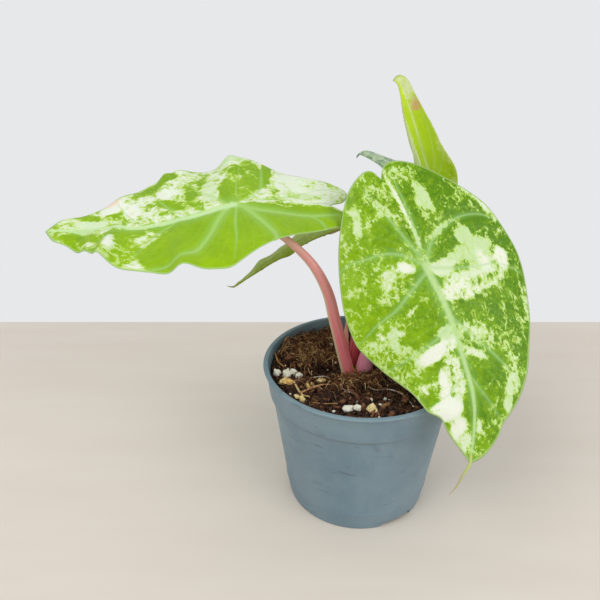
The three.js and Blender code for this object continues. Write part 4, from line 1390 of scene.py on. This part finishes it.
# %% The ground of the soil
SOIL_LEVEL = 64.0
SOIL_FALL = 0.081
SOIL_REACH = 41.0
SOIL_BELOW_RIM = 1.5
CLODS = 60
LUMPS = [
    (-14.5, 2.5, 7.5, -4), (-17, 1, 6, -2), (-28, 30, 26, 5.5), (-9, 41, 13, 5), (-40, 13, 17, 4.5),
    (22, 32, 22, 3), (-24, 14, 9, 1.6), (-7, -11, 8, 1.4), (34, -8, 14, 1.5),
]
CRUMB_NOISE = [(1.5, 0.35, 3.1), (0.8, 0.9, 7.7), (0.3, 2.1, 1.3)]
SOIL_RINGS = 110
SOIL_AROUND = 300
SOIL_CLEAR = 0.05
SOIL_SUNK = 0.2
EDGE_ABOVE_STEP = 3


def scatter(i, k):
    """An even scatter between 0 and 1, the same as in the solid."""
    value = math.sin(i * 12.9898 + k * 78.233) * 43758.5453
    return value - math.floor(value)


def clods():
    found = list(LUMPS)
    for i in range(CLODS):
        reach = SOIL_REACH * math.sqrt(scatter(i, 1))
        turn = 2 * math.pi * scatter(i, 2)
        radius, high = 3 + 4 * scatter(i, 3), 0.6 + 2 * scatter(i, 4) ** 2
        found.append((reach * math.cos(turn), reach * math.sin(turn), radius, high))
    return found


SOIL_CLODS = clods()


def soil_height(x, y):
    """The height of the soil in millimetres, without its crumbs."""
    x, y = np.asarray(x, float), np.asarray(y, float)
    z = SOIL_LEVEL - SOIL_FALL * y
    for cx, cy, radius, high in SOIL_CLODS:
        share = 1 - np.minimum(1, np.hypot(x - cx, y - cy) / radius) ** 2
        z = z + high * share * share
    return np.minimum(z, POT["height"] - SOIL_BELOW_RIM)


def crumble(x, y):
    """The crumbs of the ground: noise of three sizes."""
    spots = np.array([
        sum(high * noise.noise((a * often, b * often, layer)) for high, often, layer in CRUMB_NOISE)
        for a, b in zip(x.ravel().tolist(), y.ravel().tolist())
    ])
    return spots.reshape(x.shape)


print("soil level in the middle, in mm:", float(soil_height(0, 0)))

# %% The soil's mesh
radii = (pot_wall_at(COLLAR_FOOT + EDGE_ABOVE_STEP) - SOIL_CLEAR) * np.linspace(0, 1, SOIL_RINGS + 1)[1:]
angles = 2 * np.pi * np.arange(SOIL_AROUND) / SOIL_AROUND
gx, gy = radii[:, None] * np.cos(angles), radii[:, None] * np.sin(angles)
gz = np.minimum(soil_height(gx, gy) + crumble(gx, gy) - SOIL_SUNK, POT["height"] - 1)
top = np.stack([gx, gy, gz], axis=-1).reshape(-1, 3)
down = (COLLAR_FOOT + 0.6, COLLAR_FOOT - 0.6, POT_FLOOR + 0.2)
sides = [ring_at(pot_wall_at(z) - SOIL_CLEAR, z, angles) for z in down]
points = np.vstack([[[0, 0, float(soil_height(0, 0))]], top, *sides, [[0, 0, down[-1]]]])
rings = SOIL_RINGS + len(sides)
lowest = 1 + (rings - 1) * SOIL_AROUND
faces = disc_faces(rings, SOIL_AROUND) + turned_over(ring_fan(len(points) - 1, lowest, SOIL_AROUND))
soil = new_piece("soil_ground", points, faces, ["soil"])
# crest: how high the crumbs stand against the smooth ground, 0.5 being level with it; the peat finish paints
# shade where it is low.
crests = np.full(len(points), 0.5)
crests[1:1 + gz.size] = np.clip(0.5 + (gz + SOIL_SUNK - soil_height(gx, gy)).ravel() / 2, 0, 1)
put_attribute(soil.data, "crest", crests)
print("soil points:", len(points), "heights:", gz.min().round(1), gz.max().round(1))

# %% [markdown]
# ## Crumbs, bark, perlite and chips
# Loose bits on the ground are what makes soil look like soil, because they cast real shadows. A particle
# system would not reach the export, so each bit is a small round mesh, squeezed, dented and turned, and a
# heap joins all bits of one kind to one piece. The few large white and yellow bits lie where they are seen.

# %% Small round bodies and heaps
rng = np.random.default_rng(11)
DENT_SIZE = 1.4


def ball(detail):
    """Points and triangles of a round body."""
    body = bmesh.new()
    bmesh.ops.create_icosphere(body, subdivisions=detail, radius=1.0)
    points = np.array([corner.co[:] for corner in body.verts])
    faces = [[corner.index for corner in face.verts] for face in body.faces]
    body.free()
    return points, faces


def turned(points):
    """The points turned any way round."""
    q = rng.normal(size=4)
    w, x, y, z = q / np.linalg.norm(q)
    matrix = np.array([
        [1 - 2 * (y * y + z * z), 2 * (x * y - z * w), 2 * (x * z + y * w)],
        [2 * (x * y + z * w), 1 - 2 * (x * x + z * z), 2 * (y * z - x * w)],
        [2 * (x * z - y * w), 2 * (y * z + x * w), 1 - 2 * (x * x + y * y)],
    ])
    return points @ matrix.T


def lump(shape, size, rough):
    """One irregular lump: a ball squeezed, dented and turned."""
    points, faces = shape
    offset = rng.uniform(0, 100, 3)
    dents = np.array([noise.noise(Vector(p * DENT_SIZE + offset)) for p in points])
    return turned(points * (1 + rough * dents)[:, None] * np.array(size)), faces


class Heap:
    """Collects small bodies and makes one piece of them."""

    def __init__(self):
        self.points, self.faces, self.tints, self.count = [], [], [], 0

    def add(self, points, faces, tint):
        self.points.append(points)
        self.faces += [[corner + self.count for corner in face] for face in faces]
        self.tints.append(np.full(len(points), float(tint)))
        self.count += len(points)

    def piece(self, name, slot_name, smooth=True):
        made = new_piece(name, np.vstack(self.points), self.faces, smooth=smooth)
        put_attribute(made.data, "tint", np.concatenate(self.tints))
        return made


COARSE, MIDDLING, FINE = ball(1), ball(2), ball(3)
print("points of the three balls:", len(COARSE[0]), len(MIDDLING[0]), len(FINE[0]))

# %% Lay the loose bits
CRUMBS = 2600
BARK_BITS = 260
SMALL_PERLITE = 70
SPOT_REACH = 39.5
BARK_REACH = 39


def soil_spot(reach=SPOT_REACH):
    r = reach * math.sqrt(rng.uniform())
    a = rng.uniform(0, 2 * math.pi)
    return r * math.cos(a), r * math.sin(a)


def ground(x, y):
    return float(soil_height(x, y) + crumble(np.array([x]), np.array([y]))[0])


def lay(heap, shape, spot, size, rough, high):
    """Adds one lump at a spot, its middle that high above the ground."""
    points, faces = lump(shape, size, rough)
    heap.add(points + [*spot, ground(*spot) + high], faces, rng.uniform())


crumbs, bark, perlite, chips = Heap(), Heap(), Heap(), Heap()
for _ in range(CRUMBS):
    spot = soil_spot()
    size = 0.25 + 0.9 * rng.uniform() ** 3
    sizes = (size, size * rng.uniform(0.6, 1), size * rng.uniform(0.4, 0.9))
    lay(crumbs, COARSE, spot, sizes, 0.5, size * 0.25)
for _ in range(BARK_BITS):
    spot = soil_spot(BARK_REACH)
    size = rng.uniform(0.8, 2.5)
    sizes = (size, size * rng.uniform(0.35, 0.7), size * rng.uniform(0.25, 0.5))
    lay(bark, MIDDLING, spot, sizes, 0.7, size * 0.2)
soil_crumbs = crumbs.piece("soil_crumbs", "potting_mix", smooth=False)
soil_bark = bark.piece("soil_bark", "potting_mix")

PERLITE = [
    (-38.4, -5.4, 2.2), (-34.4, -3.4, 2.7), (-31.2, -0.6, 2.1), (-32.6, -3.0, 1.9), (-28.6, -3.6, 1.9),
    (-25, 37.8, 1.0), (-20.8, 38.8, 0.9), (-12.7, 23.6, 1.1), (-8.3, -34.2, 2.3), (-4.4, -34.6, 1.8),
    (-3.7, -26, 0.8), (2.5, -24.6, 0.9), (8.7, -23.1, 0.8), (-14, -33, 0.8), (5.9, -28.9, 0.9),
    (-18, 15, 0.9), (-11, 9, 0.7), (20, 20, 1.6), (26, -6, 1.4), (30, 12, 2.2), (8, 31, 1.8),
    (24, 27, 1.3),
]
CHIPS = [
    (-35.2, -13.6, 2.4), (-33, -16.8, 1.8), (-26.8, -24.2, 2.2), (-24.9, -10, 1.1), (-24.5, -14, 1.5),
    (-22.7, -11.6, 1.2), (-18.6, -9.2, 2.0), (-28.1, 5.9, 1.3), (-29.5, -21.5, 1.3), (17, 9, 1.6),
]
CONE_SPOT = (1.9, -33.4)
CONE_SIZE = (1.7, 1.6, 1.7)
CONE_TALL = [1, 1, 1.5]
CONE_HIGH = 1.9
for *spot, size in PERLITE:
    lay(perlite, FINE, spot, (size, size * 0.85, size * 0.75), 0.5, size * 0.45)
for _ in range(SMALL_PERLITE):
    spot = soil_spot()
    size = rng.uniform(0.2, 0.55)
    lay(perlite, COARSE, spot, (size, size, size * 0.8), 0.5, size * 0.5)
for *spot, size in CHIPS:
    lay(chips, FINE, spot, (size, size * 0.7, size * 0.55), 0.6, size * 0.35)
cone, faces = lump(FINE, CONE_SIZE, 0.3)
cone[:, :2] *= np.clip(1.15 - cone[:, 2:] * 0.5, 0.25, 1.6)
chips.add(cone * CONE_TALL + [*CONE_SPOT, ground(*CONE_SPOT) + CONE_HIGH], faces, 1.0)
soil_perlite = perlite.piece("soil_perlite", "potting_mix")
soil_chips = chips.piece("soil_chips", "potting_mix")
print("crumbs:", crumbs.count, "bark:", bark.count, "perlite:", perlite.count)

# %% [markdown]
# ## Fibres, straw and roots
# Coir fibres lie in clumps, curled and lifted off the ground, with a few long straws and pale roots on
# them. Hair curves would not reach the export, so each is a thin tube made by the stalks' helper, along a
# line that wanders by chance from a fixed seed. The straws and roots lie where they are seen.

# %% Strands that lie on the soil
STRAND_SIDE = (0.31, 0.27, 0.91)
PATH_POINTS = 5
PATH_REACH = 40
PATH_CURL = 0.6
PATH_RISE = 0.15
PATH_TOP = 70.4


def strand(heap, path, radius, tint, sides, steps):
    points, faces, _, _ = tube(path, radius, sides, steps, reference=STRAND_SIDE)
    heap.add(points, faces, tint)


def lying_path(x, y, turn, length, lift):
    """A curly line that lies on the soil."""
    path = []
    for k in range(PATH_POINTS):
        reach = math.hypot(x, y)
        if reach > PATH_REACH:
            x, y = x * PATH_REACH / reach, y * PATH_REACH / reach
        high = lift * math.sin(math.pi * k / (PATH_POINTS - 1)) * rng.uniform(0.3, 1)
        path.append((x, y, min(ground(x, y) + PATH_RISE + high, PATH_TOP)))
        turn += rng.normal(0, PATH_CURL)
        x += math.cos(turn) * length / (PATH_POINTS - 1)
        y += math.sin(turn) * length / (PATH_POINTS - 1)
    return path


print("a strand has", PATH_POINTS, "points before it is smoothed")

# %% Coir fibres
FIBRE_CLUMPS = [
    (-17, 16, 6, 230, 0.35), (-24, 11, 6, 200, 0.4), (-31, 14, 6, 200, 0.3), (-26, 25, 8, 260, 0.2),
    (-14, 35, 7, 180, 0.15), (-36, 22, 6, 120, 0.2), (-8, -11, 5.5, 300, 0.3), (1, -10, 6, 200, 0.25),
    (-14, 31, 6, 100, 0.2), (-26, -12, 6, 80, 0.1), (8, -5, 6, 150, 0.2), (20, 4, 10, 150, 0.0),
]
HOLLOW = (-15.5, 1.5, 5.5)
CLUMP_SHARE = 0.7
LOOSE_FIBRES = 600
FIBRE_REACH = 40.2


def in_hollow(x, y):
    return math.hypot(x - HOLLOW[0], y - HOLLOW[1]) < HOLLOW[2]


fibres = Heap()
for cx, cy, spread, amount, golden in FIBRE_CLUMPS:
    for _ in range(int(amount * CLUMP_SHARE)):
        x, y = rng.normal([cx, cy], spread * 0.6)
        if math.hypot(x, y) < FIBRE_REACH and not in_hollow(x, y):
            path = lying_path(x, y, rng.uniform(0, 6.28), rng.uniform(2, 9), 3.4)
            tint = min(1, rng.uniform() ** 1.3 * 0.85 + golden * rng.uniform())
            thick = rng.uniform(0.08, 0.15) + 0.14 * rng.uniform() ** 4
            strand(fibres, path, [(0, 0.05), (0.5, thick), (1, 0.04)], tint, 4, 6)
for _ in range(LOOSE_FIBRES):
    x, y = soil_spot()
    if not in_hollow(x, y):
        path = lying_path(x, y, rng.uniform(0, 6.28), rng.uniform(2, 8), 0.9)
        radius = [(0, 0.05), (0.5, rng.uniform(0.07, 0.15)), (1, 0.04)]
        strand(fibres, path, radius, rng.uniform(0, 0.7), 4, 6)
soil_fibres = fibres.piece("soil_fibres", "potting_mix")
print("fibre points:", fibres.count)

# %% Straws and roots
STRAWS = [
    ([(-40, 10.5), (-38.5, 5.9), (-35.6, -0.5)], 0.42, 0.8),
    ([(-28.1, -20.1), (-22.8, -15.5), (-18.3, -13.2), (-13.8, -12.4)], 0.45, 0.62),
    ([(-31, -16.5), (-27.5, -20), (-24, -23.5)], 0.5, 1.0),
    ([(-33.1, 28.5), (-35, 21.6), (-36.8, 15)], 0.35, 0.7),
    ([(-36.8, 28), (-35, 30.4), (-32, 29.5)], 0.25, 0.6),
    ([(-25, -27), (-19, -27.5), (-12, -28.5)], 0.3, 0.7),
    ([(0.3, -4.3), (5.2, -1.8), (11.1, -2.7), (14.5, -8.4), (16.2, -15.5)], 0.3, 0.3),
]
ROOTS = [
    ([(1.9, -17.1), (5.5, -16.3), (9.2, -14.8), (12.8, -17.8), (16.8, -20.9), (18.7, -25.3),
      (19.4, -28.9)], 0.27, 0.85),
    ([(-28.1, -6.8), (-24.4, -5.1), (-19.8, -4.3), (-16.2, -5.1), (-14.4, -6.8)], 0.27, 0.95),
    ([(9, -4), (14, -8), (18, -13), (20, -18)], 0.25, 0.5),
    ([(-10, -15), (-6, -18), (-3, -22)], 0.25, 0.7),
    ([(20, 12), (27, 15), (33, 12)], 0.25, 0.8),
]
ORANGE_ROOTS = [
    [(-4.6, -2.6, 71.5), (-3.2, -3.6, 68.4), (-1.2, -4.2, 66.2), (1.5, -4.6, 65.4)],
    [(-2.2, -2.2, 70.5), (-1.4, -3.6, 67.8), (0.6, -4.6, 66), (3.6, -4.4, 65.6)],
    [(-7.4, -2.4, 66.2), (-4.6, -4, 66.6), (-1, -5, 65.9)],
]
straws = Heap()
for flat_path, radius, tint in STRAWS:
    line = [(x, y, ground(x, y) + 0.9) for x, y in flat_path]
    strand(straws, line, [(0, radius * 0.8), (0.5, radius), (1, radius * 0.5)], tint, 8, 24)
for line in ORANGE_ROOTS:
    strand(straws, line, [(0, 0.12), (0.5, 0.24), (1, 0.14)], 0.9, 8, 24)
soil_straws = straws.piece("soil_straws", "potting_mix")
roots = Heap()
for flat_path, radius, tint in ROOTS:
    line = [(x, y, ground(x, y) + 0.8) for x, y in flat_path]
    strand(roots, line, [(0, radius), (0.6, radius), (1, radius * 0.4)], tint, 8, 40)
soil_roots = roots.piece("soil_roots", "potting_mix")
print("straw points:", straws.count, "root points:", roots.count)

# %% [markdown]
# ## Soil finishes
# Every small piece got a number between 0 and 1, its tint, when it was made. The material turns tints to
# colours along a ramp, so one material gives each heap its spread, from black peat to red-brown coir.

# %% Soil materials
def heap_material(name, ramp, grain_scale, roughness, bumpy, shade_code="B0A69E"):
    """A finish whose colour is the tint's place on a ramp, shaded by a fine grain."""
    material, board, shader = new_material(name, roughness, Specular_IOR_Level=0.3)
    place = board.node("ShaderNodeNewGeometry").outputs["Position"]
    colours = board.node("ShaderNodeValToRGB")
    stops = colours.color_ramp.elements
    while len(stops) < len(ramp):
        stops.new(0.5)
    for stop, (at, code) in zip(stops, ramp.items()):
        stop.position = at
        stop.color = srgb(code)
    board.put(colours.inputs[0], board.field("tint"))
    grain = board.noise(place, grain_scale, 4, 0.7)
    shade = board.mix(board.step(grain, 0.3, 0.7), srgb(shade_code), srgb("FFFFFF"))
    board.put(shader["Base Color"], board.mix(1.0, colours.outputs[0], shade, "MULTIPLY"))
    board.put(shader["Normal"], board.bump(grain, bumpy, 0.4 * MM))
    return material


ground_finish, board, shader = new_material("peat_finish", 0.9, Specular_IOR_Level=0.25)
place = board.node("ShaderNodeNewGeometry").outputs["Position"]
wide = board.noise(place, 90, 4, 0.6)
tight = board.noise(place, 700, 4, 0.75)
peat = board.mix(board.step(wide, 0.4, 0.65), srgb("281812"), srgb("4E3325"))
# Painted shade: near-black where the crumbs dip below the ground, in the hollows between them.
board.put(shader["Base Color"], board.layered(peat, [
    (board.step(board.field("crest"), 0.6, 0.25), "130C0A"),
    (board.step(tight, 0.5, 0.75, 0, 0.7), "80593E"),
]))
board.put(shader["Normal"], board.bump(tight, 0.8, 0.6 * MM))
soil.data.materials.append(ground_finish)

HEAP_FINISHES = {
    soil_crumbs: ("peat_crumb_finish", {0: "140D0A", 0.5: "2C1B14", 0.85: "5E3D2A", 1: "90694A"},
                  900, 0.9, 0.6),
    soil_bark: ("bark_finish", {0: "331D14", 0.5: "5C3826", 0.85: "8A5C3C", 1: "B08458"}, 700, 0.8, 0.8),
    soil_perlite: ("perlite_finish", {0: "F2EEDC", 0.5: "FAF8EE", 1: "E4E2D4"}, 1300, 0.7, 0.35, "E0DCD2"),
    soil_chips: ("wood_chip_finish", {0: "E2B468", 0.5: "EED08E", 1: "F6EAAE"}, 800, 0.7, 0.4, "D2C4B0"),
    soil_fibres: ("coir_finish", {0: "35190F", 0.3: "6E412B", 0.6: "A87448", 1: "E6C48C"}, 900, 0.8, 0.3),
    soil_straws: ("straw_finish", {0: "7A5436", 0.6: "C99A6C", 0.9: "DB9A50", 1: "E2C88E"}, 500, 0.6, 0.5),
    soil_roots: ("root_finish", {0: "8A6A56", 0.7: "C2A392", 1: "D8D0C6"}, 500, 0.55, 0.4),
}
for piece, settings in HEAP_FINISHES.items():
    piece.data.materials.append(heap_material(*settings))
print("soil finishes:", len(HEAP_FINISHES) + 1)

# %% [markdown]
# ## The table
# The plant stands on a plain pale table whose far edge shows behind it. One flat face is enough.

# %% Stage
TABLE_BACK = 0.168
TABLE_REACH = 2.4
table_finish, board, shader = new_material("pale_table_finish", 0.6, Specular_IOR_Level=0.2)
place = board.node("ShaderNodeNewGeometry").outputs["Position"]
soft = board.noise(board.stretch(place, (1, 6, 1)), 9, 3, 0.5)
board.put(shader["Base Color"], board.mix(soft, srgb("DBCFC2"), srgb("E3DACF")))
sheet = bpy.data.meshes.new("table")
corners = [(x, y, 0) for y in (-TABLE_REACH, TABLE_BACK) for x in (-TABLE_REACH, TABLE_REACH)]
sheet.from_pydata(corners, [], [(0, 1, 3, 2)])
sheet.materials.append(table_finish)
table = bpy.data.objects.new("table", sheet)
bpy.context.scene.collection.objects.link(table)
print("table's far edge in mm:", TABLE_BACK / MM)

# %% [markdown]
# ## Light
# Window light in a white room is soft and comes from all round, so a bright world does most of the work,
# with one large soft lamp above and to the left for shape and a weaker one from the right. The camera sees
# the world in the tone of the wall, so that nothing stands in the way of a look from behind.

# %% Lamps and world
PLANT_MIDDLE = (-0.01, 0.0, 0.1)
LAMPS = {
    "window_light": {"place": (-0.55, -0.55, 0.95), "size": 0.7, "watts": 4.6, "colour": (1.0, 0.99, 0.975)},
    "room_light": {"place": (0.7, -0.6, 0.6), "size": 0.8, "watts": 3.4, "colour": (0.985, 0.985, 1.0)},
}
ROOM_COLOUR = (0.94, 0.975, 1.0, 1)
ROOM_STRENGTH = 0.69
WALL_TONE = "E7E8EA"


def area_light(name, place, size, watts, colour):
    """A round lamp that looks at the middle of the plant."""
    lamp = bpy.data.lights.new(name, "AREA")
    lamp.shape = "DISK"
    lamp.size = size
    lamp.energy = watts
    lamp.color = colour
    holder = bpy.data.objects.new(name, lamp)
    bpy.context.scene.collection.objects.link(holder)
    holder.location = place
    holder.rotation_euler = (Vector(PLANT_MIDDLE) - Vector(place)).to_track_quat("-Z", "Y").to_euler()


for name, values in LAMPS.items():
    area_light(name, **values)
world = bpy.data.worlds.new("soft_room")
world.use_nodes = True
board = Board(world.node_tree)
room = world.node_tree.nodes["Background"]
room.inputs["Color"].default_value = ROOM_COLOUR
room.inputs["Strength"].default_value = ROOM_STRENGTH
wall = board.node("ShaderNodeBackground")
wall.inputs["Color"].default_value = srgb(WALL_TONE)
seen = board.node("ShaderNodeLightPath").outputs["Is Camera Ray"]
either = board.node("ShaderNodeMixShader")
for socket, given in zip(either.inputs, (seen, room.outputs[0], wall.outputs[0])):
    board.put(socket, given)
board.put(world.node_tree.nodes["World Output"].inputs[0], either.outputs[0])
bpy.context.scene.world = world
bpy.context.scene.view_settings.view_transform = "Standard"

# %% [markdown]
# ## Camera
# The camera stands where the photograph's did: above the rim, looking down at the pot. Its place and lens
# were found by fitting the pot's rim, collar and foot to the photograph.

# %% Camera
CAMERA_PLACE = (-28.1, -251.4, 228.0)
CAMERA_DOWN = 26.56
CAMERA_SENSOR = 36.0
CAMERA_LENS = 38.4
CAMERA_NEAR = 0.01

camera_data = bpy.data.cameras.new("camera")
camera_data.sensor_width = CAMERA_SENSOR
camera_data.lens = CAMERA_LENS
camera_data.clip_start = CAMERA_NEAR
camera = bpy.data.objects.new("camera", camera_data)
camera.location = Vector(CAMERA_PLACE) * MM
camera.rotation_euler = (math.radians(90 - CAMERA_DOWN), 0, 0)
bpy.context.scene.collection.objects.link(camera)
bpy.context.scene.camera = camera
print("camera at", [round(c, 3) for c in camera.location])

# %% Update the scene
bpy.context.view_layer.update()
